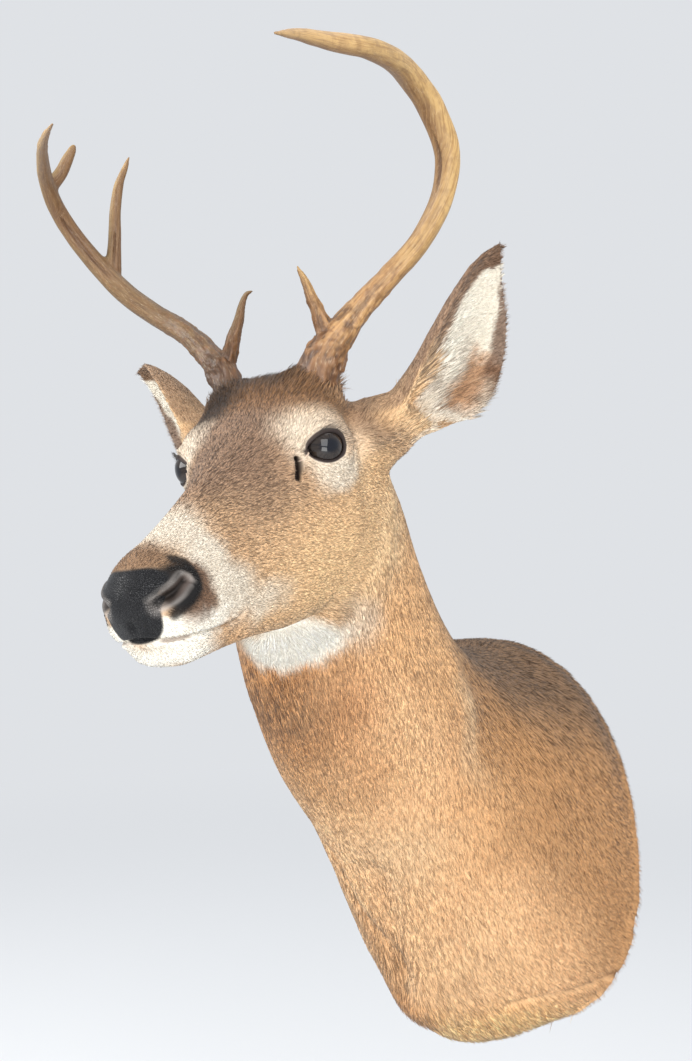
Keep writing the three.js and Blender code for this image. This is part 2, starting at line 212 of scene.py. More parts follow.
def rounded(points: Sequence[Triple], pieces: int = 6) -> Array:
    """Rounds a broken line into a smooth one through the same points.

    Args:
        points: The points that the line passes.
        pieces: How many lengths each span is divided into.

    Returns:
        The smooth line's points, as rows of three.
    """
    p = np.array(points, float)
    p = np.vstack([2 * p[0] - p[1], p, 2 * p[-1] - p[-2]])
    spans = np.sqrt(np.linalg.norm(np.diff(p, axis=0), axis=1))
    t = (np.arange(pieces) / pieces)[:, None]
    out = []
    for i in range(1, len(p) - 2):
        a, b, c, d = p[i - 1 : i + 3]
        before, own, after = spans[i - 1 : i + 2]
        start = own * ((b - a) / before - (c - a) / (before + own)) + c - b
        end = own * ((d - c) / after - (d - b) / (own + after)) + c - b
        square = 3 * (c - b) - 2 * start - end
        cube = 2 * (b - c) + start + end
        out.append(b + start * t + square * t**2 + cube * t**3)
    return np.vstack([*out, p[-2]])


@dataclass(frozen=True)
class Axes:
    """A place's own directions, with places measured in millimetres from its origin.

    Args:
        origin: The origin in the frame, in millimetres.
        turn: A 3 x 3 matrix whose rows are the three directions.
    """

    origin: Array
    turn: Array

    def local(self, places: Array) -> Array:
        """Turns places in metres into this set's own millimetres."""
        return (places / MM - self.origin) @ self.turn.T

    def world(self, local: Array) -> Array:
        """Turns this set's own millimetres into places in metres."""
        return (np.asarray(local, float) @ self.turn + self.origin) * MM

    def way(self, local: Array) -> Array:
        """Turns a direction given along these axes into one of the frame."""
        return np.asarray(local, float) @ self.turn


def head_axes() -> Axes:
    """The head's axes, (forward, left, up), turned as the head is on its neck.

    Returns:
        The axes.
    """
    yaw, pitch, roll = (math.radians(a) for a in (18.9, 18.9, 5.3))
    turned = Matrix.Rotation(yaw, 3, "Z") @ Matrix.Rotation(pitch, 3, "X") @ Matrix.Rotation(-roll, 3, "Y")
    left, back, up = (np.array(turned.col[i]) for i in range(3))
    return Axes(np.array([69.0, -459.0, 344.0]), np.array([-back, left, up]))


HEAD = head_axes()
TRUNK = Axes(np.zeros(3), np.eye(3))


@dataclass(frozen=True)
class Patch:
    """A soft-edged egg-shaped region.

    Args:
        at: Its middle.
        size: Its half sizes along the three axes.
        soft: How much of the radius its edge fades over.
        paired: True where the other side of the head has one too.
    """

    at: Triple
    size: Triple
    soft: float = 0.35
    paired: bool = False

    def _away(self, local: Array) -> list[Array]:
        """Each place's offset from the region's middle in half sizes, once for each side that has one."""
        signs = (1.0, -1.0) if self.paired else (1.0,)
        return [(local - np.array(self.at) * (1.0, sign, 1.0)) / self.size for sign in signs]

    def weight(self, local: Array) -> Array:
        """How much each place belongs to the region, from 0 to 1."""
        gap = np.minimum.reduce([np.linalg.norm(away, axis=1) for away in self._away(local)])
        return step(1 + self.soft, 1 - self.soft, gap)

    def swell(self, local: Array) -> Array:
        """A smooth hump over the region, 1 at its middle."""
        return np.minimum(sum(np.exp(-1.5 * (away**2).sum(1)) for away in self._away(local)), 1.0)


@dataclass(frozen=True)
class Line:
    """A soft-edged stroke that follows a line.

    Args:
        points: The line's corners.
        width: The stroke's half width.
        soft: How much of the half width its edge fades over.
        paired: True where the other side of the head has one too.
    """

    points: tuple[Triple, ...]
    width: float
    soft: float = 0.5
    paired: bool = False

    def gap(self, local: Array) -> Array:
        """The distance from each place to the line.

        Args:
            local: Places, as rows of three.

        Returns:
            One distance for each place.
        """
        points = rounded(self.points, 4)
        gap = along_line(local, points)[0]
        if self.paired:
            gap = np.minimum(gap, along_line(local * (1.0, -1.0, 1.0), points)[0])
        return gap

    def weight(self, local: Array) -> Array:
        """How much each place belongs to the stroke, from 0 to 1."""
        return step(self.width * (1 + self.soft), self.width * (1 - self.soft), self.gap(local))

    def swell(self, local: Array) -> Array:
        """A smooth ridge along the stroke, 1 on its line."""
        return np.exp(-((self.gap(local) / self.width) ** 2))


# --- Places on the animal ---

EAR_LENGTH = 172.0
EYE_RADIUS = 17.0


@dataclass(frozen=True)
class EyeAxes:
    """One eye's own axes: x towards the front corner, y up, z out along the eye's sight.

    Args:
        side: Which eye it is.
    """

    side: Side

    OUTWARD = (0.68, 0.73, 0.08)
    MIDDLE = (-3.0, 49.5, 1.0)

    @property
    def axes(self) -> Axes:
        """The eye's axes from the middle of its ball.

        Returns:
            The axes.
        """
        out = unit(HEAD.way(np.array(self.OUTWARD) * self.side.mirror))
        up = HEAD.way((0.0, 0.0, 1.0))
        up = unit(up - out * (up @ out))
        front = unit(np.cross(out, up)) * self.side.value
        origin = HEAD.world(np.array(self.MIDDLE) * self.side.mirror) / MM
        return Axes(origin, np.array([front, up, out]))


@dataclass(frozen=True)
class EarAxes:
    """One ear's own axes: x across it, y along it to the tip, z out of its cup.

    Args:
        side: Which ear it is.
    """

    side: Side

    ALONG = {Side.LEFT: (-0.14, 0.73, 0.67), Side.RIGHT: (-0.45, -0.74, 0.5)}
    OPENS = {Side.LEFT: (0.38, 0.87, -0.17), Side.RIGHT: (0.5, -0.8, -0.1)}
    BASE = (-86.0, 58.0, 2.0)

    @property
    def axes(self) -> Axes:
        """The ear's axes from the middle of its base.

        Returns:
            The axes.
        """
        along = unit(HEAD.way(self.ALONG[self.side]))
        opens = HEAD.way(self.OPENS[self.side])
        opens = unit(opens - along * (opens @ along))
        origin = HEAD.world(np.array(self.BASE) * self.side.mirror) / MM
        return Axes(origin, np.array([np.cross(along, opens), along, opens]))


@dataclass(frozen=True)
class Spine:
    """The line down the middle of the trunk and neck, from the wall to the head."""

    STATIONS = (
        *((0, 0, -20), (0, -45, -14), (0, -95, 8), (3, -145, 44), (6, -195, 90)),
        *((12, -240, 142), (20, -282, 200), (28, -318, 258), (38, -350, 312), (46, -384, 350)),
    )
    UNDER = (0.0, -0.447, -0.894)

    def locate(self, places: Array) -> tuple[Array, Array, Array]:
        """Places points round the line.

        Args:
            places: Points in metres.

        Returns:
            The way along from wall to head, 0 to 1; the line's direction there; and how far round
            each point is, as (under, left) parts of its spoke, 1 long.
        """
        line = rounded(self.STATIONS) * MM
        _, way, foot = along_line(places, line)
        ahead = ahead_along(line, way)
        under = unit(np.array(self.UNDER) - ahead * (ahead @ np.array(self.UNDER))[:, None])
        left = np.cross(ahead, under)
        spoke = unit(places - foot)
        return way, ahead, np.stack([(spoke * under).sum(1), (spoke * left).sum(1)], axis=1)


SPINE = Spine()


@dataclass
class Survey:
    """What is known about a set of places on the skin.

    Args:
        places: Points in metres.
        normals: The skin's outward direction at each.
    """

    places: Array
    normals: Array
    head: Array = field(init=False)
    trunk: Array = field(init=False)
    ears: dict[Side, Array] = field(init=False)
    on_ear: dict[Side, Array] = field(init=False)
    on_head: Array = field(init=False)
    on_trunk: Array = field(init=False)
    way: Array = field(init=False)
    ahead: Array = field(init=False)
    round_: Array = field(init=False)

    THROAT = (-20.0, 0.0, -112.0)
    NAPE = (-148.0, 0.0, 30.0)
    COLLAR = (0.0, -150.0, 215.0)
    COLLAR_FACES = (0.0, -0.652, 0.758)

    def __post_init__(self) -> None:
        """Works out every measure."""
        self.head = HEAD.local(self.places)
        self.trunk = TRUNK.local(self.places)
        self.way, self.ahead, self.round_ = SPINE.locate(self.places)
        throat, nape = np.array(self.THROAT), np.array(self.NAPE)
        run = nape - throat
        faces = unit(np.array([run[2], 0.0, -run[0]]))
        self.on_head = step(-14.0, 10.0, (self.head - throat) @ faces)
        collar = (self.trunk - np.array(self.COLLAR)) @ np.array(self.COLLAR_FACES)
        self.on_trunk = step(30.0, -30.0, collar)
        self.ears = {}
        self.on_ear = {}
        for side in Side:
            local = EarAxes(side).axes.local(self.places)
            self.ears[side] = local
            wide = np.abs(local[:, 0]) < 75.0
            deep = np.abs(local[:, 2]) < 48.0
            self.on_ear[side] = step(6.0, 26.0, local[:, 1]) * wide * deep

    @property
    def off_ears(self) -> Array:
        """1 away from both ears."""
        return 1.0 - np.maximum(self.on_ear[Side.LEFT], self.on_ear[Side.RIGHT])

    def inside_ear(self, side: Side) -> Array:
        """1 on the inner face of an ear's cup."""
        opens = EarAxes(side).axes.turn[2]
        return step(-0.05, 0.35, self.normals @ opens) * self.on_ear[side]

    def lie(self) -> Array:
        """The way the hair lies at each place, along the skin.

        Returns:
            One direction for each place.
        """
        body = -self.ahead + np.array([0.0, 0.0, -0.55]) * (0.35 + 0.65 * self.on_trunk)[:, None]
        face = self._face_lie()
        blend = self.on_head[:, None]
        flow = unit(body) * (1 - blend) + face * blend
        for side in Side:
            near, up_beam = beam_root(self.head, side)
            flow = flow + HEAD.way(up_beam) * (near * 2.5)[:, None]
        for side in Side:
            axes = EarAxes(side).axes
            spread = np.clip(self.ears[side][:, 0:1] / 60.0, -1, 1) * axes.turn[0] * 0.45
            flow = flow + (axes.turn[1] + spread) * 2.2 * self.on_ear[side][:, None]
        flow = flow - self.normals * (flow * self.normals).sum(1)[:, None]
        return unit(flow)

    def _face_lie(self) -> Array:
        """The lie on the head: back from the nose, parting round the eyes, down the cheeks.

        Returns:
            One direction for each place.
        """
        back = np.tile((-1.0, 0.0, 0.0), (len(self.head), 1))
        back[:, 2] += -0.35 * step(10.0, -60.0, self.head[:, 2])
        back[:, 2] += 0.30 * step(15.0, 45.0, self.head[:, 2])
        back[:, 1] += np.clip(self.head[:, 1] / 60.0, -1, 1) * 0.35
        for side in Side:
            eye = np.array(EyeAxes.MIDDLE) * side.mirror
            away = self.head - (eye + np.array([6.0, 0.0, 0.0]))
            near = np.exp(-((np.linalg.norm(away, axis=1) / 34.0) ** 2))[:, None]
            back = back + unit(away) * near * 0.9
        return unit(HEAD.way(back))


BEAM_ROOT = ((-50.0, 35.0, 44.0), (-64.0, 58.0, 78.0))


def beam_root(head: Array, side: Side) -> tuple[Array, Array]:
    """Measures places against the root of one antler.

    Args:
        head: Places along the head's axes.
        side: Which antler.

    Returns:
        How near each place is to the root, from 0 to 1, and the way up the beam from there.
    """
    root, top = np.array(BEAM_ROOT) * side.mirror
    gap = along_line(head, np.array([root, top]))[0]
    way = unit((top - root)[None] + (root - head) * 0.9)
    return step(36.0, 17.0, gap), way


# --- Markings ---


class Tone(Enum):
    """The colours of coat and skin, as display red, green and blue from 0 to 255."""

    TAN = (220, 176, 128)
    GOLD = (234, 193, 148)
    RUST = (180, 130, 84)
    # BAND and BACK also serve as painted shade: in creases and folds, and on the trunk's shaded sides.
    BAND = (180, 138, 95)
    BACK = (134, 108, 84)
    STREAK = (222, 196, 160)
    # Painted shade for the seams' hollows.
    SEAM = (112, 80, 54)
    FRINGE = (250, 204, 146)
    GREY_BROWN = (146, 119, 99)
    FACE = (205, 172, 136)
    JAW = (238, 204, 160)
    CROWN = (54, 40, 30)
    CROWN_RUST = (138, 102, 68)
    DARK_EAR = (110, 84, 66)
    EAR_EDGE = (186, 138, 92)
    EAR_LINING = (250, 244, 230)
    EAR_RIM = (124, 92, 70)
    CREAM = (238, 229, 213)
    WHITE = (255, 251, 240)
    NOSE_BROWN = (120, 92, 72)
    LIP_RUST = (208, 166, 120)
    LIP_DARK = (120, 98, 84)
    NOSE_BLACK = (10, 11, 13)
    NOSE_WING = (17, 16, 17)
    # Pale grey, partly a painted highlight on the nostril's wet edges.
    NOSTRIL_RIM = (158, 152, 147)
    NOSTRIL = (104, 92, 86)
    LID = (62, 51, 46)
    LID_EDGE = (40, 32, 30)
    TEAR_LINE = (212, 188, 168)
    SLIT = (32, 23, 20)
    ANTLER_BASE = (112, 78, 50)
    ANTLER_LOW = (170, 132, 88)
    ANTLER_BEAM = (186, 152, 98)
    ANTLER_TIP = (194, 158, 108)
    ANTLER_GROOVE = (90, 62, 42)

    @property
    def linear(self) -> Array:
        """The colour as light, red, green and blue from 0 to 1."""
        shown = np.array(self.value) / 255.0
        return np.where(shown <= 0.04045, shown / 12.92, ((shown + 0.055) / 1.055) ** 2.4)


@dataclass(frozen=True)
class Mark:
    """One marking: a tone over a region.

    Args:
        tone: Its colour.
        where: The region that it covers.
        strength: How much it covers what is under it, from 0 to 1.
    """

    tone: Tone
    where: Patch | Line
    strength: float


def marks(tone: Tone, *spots: tuple) -> tuple[Mark, ...]:
    """Egg-shaped markings of one tone, each given as its strength and then what its patch is made of."""
    return tuple(Mark(tone, Patch(*patch), strength) for strength, *patch in spots)


MOUTH_FORE = ((187, 0, -68), (182, 13, -70.3), (169, 23.8, -72.6))
MOUTH_REAR = ((146, 26.5, -77), (126, 27.5, -78.8), (119, 27, -77))
NOSTRIL_FORE = ((186, 16.5, -49), (181, 21.5, -47), (174, 24.5, -44.8))
NOSTRIL_REAR = ((168, 25.5, -42.3), (165.5, 25.8, -41.5))
RIM_ABOVE = ((187, 11.5, -46), (182.5, 17.5, -43), (176, 21.8, -40.8))
RIM_BEHIND = ((168, 23, -38), (163.3, 25.5, -40.5), (163.5, 27, -44.5))
WING_BELOW = ((180, 22.5, -57), (171, 27, -53), (162.5, 28, -47.5))
WING_BEHIND = ((158.5, 25.5, -40), (158.5, 20.5, -33.5), (163, 17, -31))
FLOOR_POINTS = ((186.5, 15, -53), (181, 22, -51.5), (174.5, 25.6, -49.4), (167, 27.2, -46))

MOUTH = Line(MOUTH_FORE + MOUTH_REAR, 2.2, paired=True)
NOSTRIL = Line(NOSTRIL_FORE + NOSTRIL_REAR, 3.2, 0.5, True)
NOSTRIL_RIM = Line(RIM_ABOVE + RIM_BEHIND, 1.5, 0.8, True)
NOSTRIL_FLOOR = Line(FLOOR_POINTS, 1.4, 0.8, True)
NOSTRIL_FRONT = Patch((186, 16.5, -50.5), (5, 5.0, 5.2), 0.6, True)
NOSE_DARK = Patch((171, 23, -44), (16.5, 12, 13.5), 0.25, True)
NOSE_BARE = Patch((174, 22, -45), (13, 11, 9.5), 0.25, True)
NOSE_WING = Line(WING_BELOW + WING_BEHIND, 3.6, 0.5, True)
MOUTH_FRONT = Line(((189, 0, -69), (185, 7, -70), (180, 14.5, -70.8), (170, 22.5, -72.5)), 1.3, 0.5, True)

HEAD_MARKS = (
    *marks(
        Tone.GREY_BROWN,
        (0.9, (62, 0, 20), (95, 40, 40), 0.45),
        (0.55, (60, 36, -14), (44, 16, 26), 0.6, True),
        (0.85, (-20, 0, 62), (60, 44, 34), 0.5),
    ),
    *marks(
        Tone.JAW,
        (0.95, (10, 50, -80), (120, 34, 44), 0.6, True),
        (0.75, (-64, 60, -44), (54, 30, 54), 0.5, True),
    ),
    *marks(
        Tone.CROWN_RUST,
        (0.92, (-22, 16, 48), (38, 44, 17), 0.5, True),
        (0.6, (-46, 60, 22), (26, 18, 22), 0.5, True),
    ),
    *marks(Tone.CROWN, (0.85, (-50, 0, 58), (34, 40, 20), 0.7)),
    *marks(Tone.CROWN_RUST, (0.9, (-34, 46, 36), (26, 18, 16), 0.5, True)),
    *marks(
        Tone.CROWN,
        (0.95, (-14, -32, 40), (26, 20, 17), 0.6),
        (0.95, (-62, -46, 34), (22, 18, 16), 0.6),
    ),
    *marks(
        Tone.BACK,
        (0.7, (-96, 0, 30), (40, 60, 34), 0.5),
        (0.6, (-76, 66, 22), (18, 14, 12), 0.6, True),
    ),
    *marks(
        Tone.CREAM,
        (0.62, (2, 50, 8), (31, 21, 22), 0.4, True),
        (0.85, (-6, 59, -17), (30, 13, 14), 0.5, True),
        (0.5, (16, 38, 22), (16, 14, 12), 0.9, True),
        (0.4, (-36, 66, -6), (22, 14, 18), 0.8, True),
    ),
    *marks(
        Tone.GREY_BROWN,
        (0.9, (-74, 80, 22), (30, 26, 24), 0.8, True),
        (0.6, (-63, 98, 4), (22, 20, 20), 0.8, True),
    ),
    *marks(
        Tone.CREAM,
        (0.9, (138, 0, -18), (22, 28, 20), 0.6),
        (0.95, (136, 24, -42), (18, 18, 22), 0.4, True),
        (0.95, (127, 28, -62), (26, 14, 15), 0.45, True),
        (0.8, (98, 30, -78), (32, 12, 10), 0.8, True),
    ),
    *marks(
        Tone.WHITE,
        (0.95, (164, 20, -70), (30, 22, 12), 0.4, True),
        (1.0, (168, 0, -92), (30, 34, 20), 0.35),
        (0.9, (60, 0, -119), (80, 22, 13), 0.4),
        (1.0, (0, 0, -138), (42, 42, 19), 0.3),
    ),
    *marks(Tone.CREAM, (0.55, (-30, 42, -134), (20, 16, 18), 0.9, True)),
    *marks(
        Tone.LIP_RUST,
        (0.4, (130, 27, -85), (19, 14, 10), 0.5, True),
        (0.6, (167, 8, -89), (6, 5, 4), 0.8),
        (0.5, (150, 16, -94), (7, 5, 4), 0.8, True),
    ),
    *marks(
        Tone.NOSE_BROWN,
        (0.75, (172, 0, -28), (15, 22, 9), 0.5),
        (0.95, (164, 26, -47), (17, 15, 19), 0.35, True),
    ),
    *marks(Tone.WHITE, (0.95, (181, 18, -63), (10, 6, 7), 0.35, True)),
)

WING_MARKS = (
    Mark(Tone.NOSE_WING, NOSE_WING, 0.92),
    Mark(Tone.NOSE_WING, NOSE_DARK, 0.97),
    Mark(Tone.LIP_DARK, MOUTH_FRONT, 0.75),
)

BARE_MARKS = (
    Mark(Tone.NOSTRIL, NOSTRIL, 0.95),
    # The nostril's pale rim, front and floor: partly bare skin's own colour, partly a painted highlight on
    # the wet edges.
    Mark(Tone.NOSTRIL_RIM, NOSTRIL_FRONT, 0.6),
    Mark(Tone.NOSTRIL_RIM, NOSTRIL_FLOOR, 0.35),
    Mark(Tone.NOSTRIL_RIM, NOSTRIL_RIM, 0.5),
)


def pad_weight(head: Array) -> Array:
    """How much each place on the head belongs to the black nose pad, from 0 to 1.

    Args:
        head: Places along the head's axes.

    Returns:
        One weight for each place.
    """
    wide = 16.6 + 5.4 * step(-46.0, -38.0, head[:, 2])
    across = np.abs(head[:, 1]) / wide
    height = np.abs(head[:, 2] + 50.3) / 20.0
    outline = (across**3.0 + height**3.0) ** (1 / 3.0)
    return step(1.05, 0.97, outline) * step(162.0, 167.0, head[:, 0])


class EyeSocket:
    """The lids, in millimetres along the eye's own axes: half sizes of their opening, and their form."""

    FRONT = 15.8
    REAR = 13.4
    TOP = 9.9
    BOTTOM = 10.5
    LID = 0.9
    SLOPE = 0.72
    REACH = 34.0


SLIT = Line(((25.2, -3.4, 0), (25.6, -7.0, 0), (26.8, -11.4, 0), (29.2, -16.4, 0)), 2.1, 0.35)
SLIT_MOUTH = Line(((23.8, -5.4, 0), (24.6, -8.4, 0), (26.0, -12.0, 0)), 2.0, 0.6)
TEAR_LINE = Line(((15.0, -1.2, 0), (17.0, -2.8, 0), (20.2, -4.4, 0), (22.8, -5.5, 0)), 0.5, 0.5)


def opening(local: Array) -> Array:
    """How far each place is from the middle of the lids' opening: below 1 is inside it.

    Args:
        local: Places along one eye's axes, in millimetres.

    Returns:
        The distance as a share of the opening's half size in that direction.
    """
    x, y = local[:, 0], local[:, 1]
    wide = np.where(x > 0, EyeSocket.FRONT, EyeSocket.REAR)
    high = np.where(y > 0, EyeSocket.TOP, EyeSocket.BOTTOM)
    power = np.where(x > 0, 1.65, 2.15)
    return (np.abs(x / wide) ** power + np.abs(y / high) ** power) ** (1 / power)


def off_sight(local: Array) -> Array:
    """How far each place lies from the line of an eye's sight, in millimetres."""
    return np.hypot(local[:, 0], local[:, 1])


def past_lid(local: Array) -> Array:
    """How far each place is outside the lids' edge, in millimetres across the eye's sight."""
    reach = off_sight(local)
    return reach - reach / np.maximum(opening(local), 1e-6)


def lid_height(local: Array) -> Array:
    """How high the lids stand along an eye's sight: over the ball to their edge, then sloping away.

    Args:
        local: Places along one eye's axes, in millimetres.

    Returns:
        One height for each place, in millimetres.
    """
    past = past_lid(local)
    reach = off_sight(local) - np.maximum(past, 0.0)
    over = np.sqrt(np.maximum((EYE_RADIUS + EyeSocket.LID) ** 2 - reach**2, 0.0))
    return over - EyeSocket.SLOPE * np.maximum(past, 0.0)


def round_eyes(places: Array, measure: Callable[[Array], Array]) -> Array:
    """Measures places round both eyes.

    Args:
        places: Points in metres.
        measure: Gives a value for each place along one eye's own axes.

    Returns:
        The greater value of the two, and 0 away from both eyes.
    """
    result = np.zeros(len(places))
    for side in Side:
        local = EyeAxes(side).axes.local(places)
        near = (local[:, 2] > -14.0) & (off_sight(local) < 46.0)
        if near.any():
            result[near] = np.maximum(result[near], measure(local[near]))
    return result


def near_eyes(places: Array, chosen: Callable[[Array], Array], reach: float) -> Array:
    """True at the chosen places round both eyes, and where their slits lie within reach."""
    return round_eyes(places, lambda local: chosen(local) | (SLIT.gap(local * FLAT) < reach)) > 0


def dark_lid(local: Array) -> Array:
    """The dark bare skin round the lids' edge, widest above and behind the eye.

    Args:
        local: Places along one eye's axes, in millimetres.

    Returns:
        One weight for each place.
    """
    width = 1.5 + 0.9 * step(0.0, 7.0, local[:, 1]) + 1.2 * step(-7.0, -13.0, local[:, 0])
    corner = Patch((16.3, -0.8, 8.0), (3.4, 2.8, 16.0), 0.4).weight(local)
    return np.maximum(step(width + 0.6, width - 0.6, past_lid(local)), corner)


FLAT = np.array([1.0, 1.0, 0.0])


def flat_weight(line: Line) -> Callable[[Array], Array]:
    """A measure of how much each place belongs to a stroke, however deep it lies along the eye's sight."""
    return lambda local: line.weight(local * FLAT)


def lid_weight(survey: Survey) -> Array:
    """How much each place belongs to the dark bare rim round an eye, from 0 to 1."""
    return round_eyes(survey.places, dark_lid)


def slit_weights(places: Array) -> list[Array]:
    """How much each place belongs to the slit in front of an eye, to its mouth and to its tear line."""
    return [round_eyes(places, flat_weight(line)) for line in (SLIT, SLIT_MOUTH, TEAR_LINE)]


def markings(survey: Survey) -> Array:
    """The coat's colour at each place, as light.

    Args:
        survey: The places.

    Returns:
        One row of red, green and blue for each place.
    """
    wander = (sway(survey.places, 0.012, 3, 9.0) + sway(survey.places, 0.004, 4, 4.0))[:, None]
    head = survey.head + wander * np.array([1.0, 0.4, 0.8])
    colour = body_colour(survey)
    face = np.tile(Tone.FACE.linear, (len(head), 1))
    edge = survey.on_head[:, None]
    colour = colour * (1 - edge) + face * edge
    colour = lay_marks(colour, HEAD_MARKS, head)
    for side in Side:
        colour = ear_colour(colour, survey, side)
    colour = lay_marks(colour, WING_MARKS, survey.head + wander * 0.15)
    colour = lay(colour, (Tone.NOSE_BLACK, pad_weight(survey.head)))
    colour = lay_marks(colour, BARE_MARKS, survey.head + wander * 0.12)
    slit, mouth, tear_line = slit_weights(survey.places)
    return lay(
        colour,
        (Tone.LID, lid_weight(survey)),
        (Tone.LID_EDGE, round_eyes(survey.places, lambda local: step(0.9, 0.3, past_lid(local)))),
        (Tone.LID, mouth * 0.85),
        (Tone.SLIT, slit),
        (Tone.TEAR_LINE, tear_line * 0.9),
    )


def lay(colour: Array, *layers: tuple[Tone, Array]) -> Array:
    """Lays tones over the colours under them in turn.

    Args:
        colour: The colours under them.
        layers: Each tone with its weight at each place.

    Returns:
        The colours that show.
    """
    for tone, weight in layers:
        colour = colour + (tone.linear - colour) * np.clip(weight, 0.0, 1.0)[:, None]
    return colour


def lay_marks(colour: Array, marks: Iterable[Mark], local: Array, cover: Array | float = 1.0) -> Array:
    """Lays markings one over the other, each by its own weight and the cover."""
    return lay(colour, *((mark.tone, mark.where.weight(local) * mark.strength * cover) for mark in marks))


SEAMS = (
    ((78, -101, -158), (99, -77, -155), (125, -38, -152), (153, -4, -141)),
    ((-60, -112, -160), (-99, -77, -155), (-125, -38, -152), (-153, -4, -141)),
)
FLANK_FOLD = ((-48, -227, -10), (-41, -202, -59), (-14, -192, -95), (-4, -180, -118))
BREAST_FOLD = ((18, -240, -8), (10, -218, -56), (4, -196, -98), (-4, -172, -142))
CREASES = (
    ((98, -200, 182), (108, -184, 150), (121, -175, 113), (130, -164, 70), (134, -154, 30)),
    ((-70, -200, 182), (-84, -186, 150), (-104, -175, 113), (-116, -162, 70), (-122, -152, 30)),
)
STREAKS = (
    ((100, -240, 178), (107, -226, 158), (112, -230, 119), (116, -214, 84)),
    ((-66, -236, 170), (-80, -226, 140), (-92, -220, 110)),
)

CHEEK_SHADE = ((98, -316, 320), (103, -343, 300), (107, -366, 266), (102, -385, 236), (90, -392, 214))
THROAT_SIDE = ((84, -370, 168), (94, -330, 140), (98, -300, 118), (78, -290, 80))

BODY_MARKS = (
    # A lighter gold stroke down the side of the throat: partly the coat's paler gold, partly painted light.
    Mark(Tone.GOLD, Line(THROAT_SIDE, 34.0, 0.9), 0.75),
    # Painted shade along the shoulders' creases.
    *(Mark(Tone.BAND, Line(line, 24.0, 0.95), 0.6) for line in CREASES),
    *(Mark(Tone.STREAK, Line(line, 9.0, 1.0), 0.5) for line in STREAKS),
    *marks(Tone.FRINGE, (0.9, (10, -110, -196), (150, 130, 38), 0.5)),
    Mark(Tone.BAND, Line(CHEEK_SHADE, 22.0, 0.95), 0.6),
    *marks(Tone.RUST, (0.9, (-18, -150, -168), (32, 32, 28), 0.7)),
    *marks(Tone.BAND, (0.75, (126, -180, 66), (26, 44, 56), 0.9)),
    *marks(Tone.RUST, (0.6, (84, -367, 162), (22, 24, 26), 0.9)),
    *marks(Tone.GOLD, (0.6, (50, -342, 98), (16, 20, 34), 0.9)),
    *marks(Tone.TAN, (0.7, (104, -212, 37), (40, 50, 50), 0.95)),
    *marks(Tone.BAND, (0.6, (-22, -186, -104), (30, 30, 44), 0.9)),
    # Painted shade along the flank and breast folds.
    Mark(Tone.BAND, Line(FLANK_FOLD, 10.0, 0.95), 0.6),
    Mark(Tone.BAND, Line(BREAST_FOLD, 8.0, 0.95), 0.5),
    *marks(
        Tone.STREAK,
        (0.2, (60, -170, -110), (70, 50, 60), 0.95),
        (0.45, (49, -251, 12), (50, 40, 40), 0.95),
    ),
    # Painted shade in the seams' hollows under the trunk.
    *(Mark(Tone.SEAM, Line(line, 4.2, 0.8), 0.9) for line in SEAMS),
)


def body_colour(survey: Survey) -> Array:
    """The colour of the neck and trunk before the head's markings.

    Args:
        survey: The places.

    Returns:
        One colour for each place, as light.
    """
    under = survey.round_[:, 0]
    wander = sway(survey.places, 0.035, 5, 0.45) + sway(survey.places, 0.009, 6, 0.16)
    body = survey.trunk + wander[:, None] * 24.0
    throat = step(0.72, 0.97, under + wander * 0.3) * step(60.0, 150.0, body[:, 2])
    shoulder = 1.15 * body[:, 2] + 1.3 * body[:, 1] + 180.0
    spine = step(-0.3, -0.85, under + wander * 0.4)
    colour = lay(
        np.tile(Tone.TAN.linear, (len(under), 1)),
        (Tone.GOLD, survey.on_trunk * 0.85),
        (Tone.RUST, throat * 0.84),
        # The trunk darkens upwards and towards the wall: partly the darker coat of the back, partly painted
        # shade under the neck and on the sides that turn from the light.
        (Tone.BAND, step(-90.0, 60.0, shoulder) * survey.on_trunk * 0.95),
        (Tone.BACK, step(84.0, 176.0, body[:, 2] + 0.1 * body[:, 1]) * survey.on_trunk),
        (Tone.BACK, spine * (0.5 + 0.5 * survey.on_trunk)),
    )
    return lay_marks(colour, BODY_MARKS, body, 1 - survey.on_head)


EAR_FOLD_STEPS = (0.0, 40.0, 60.0, 80.0, 105.0, 132.0, 150.0, 163.0, 172.0)
EAR_FOLD = (0.4, 0.3, 0.12, -0.14, -0.26, -0.2, 0.0, 0.5, 1.1)
EAR_STEPS = (0.0, 0.12, 0.3, 0.45, 0.62, 0.8, 0.93, 1.0)
EAR_HALF_WIDTHS = (22.9, 28.6, 40.6, 44.9, 41.8, 29.4, 13.0, 2.6)
EAR_BOWS = {Side.LEFT: 23.0, Side.RIGHT: -6.0}


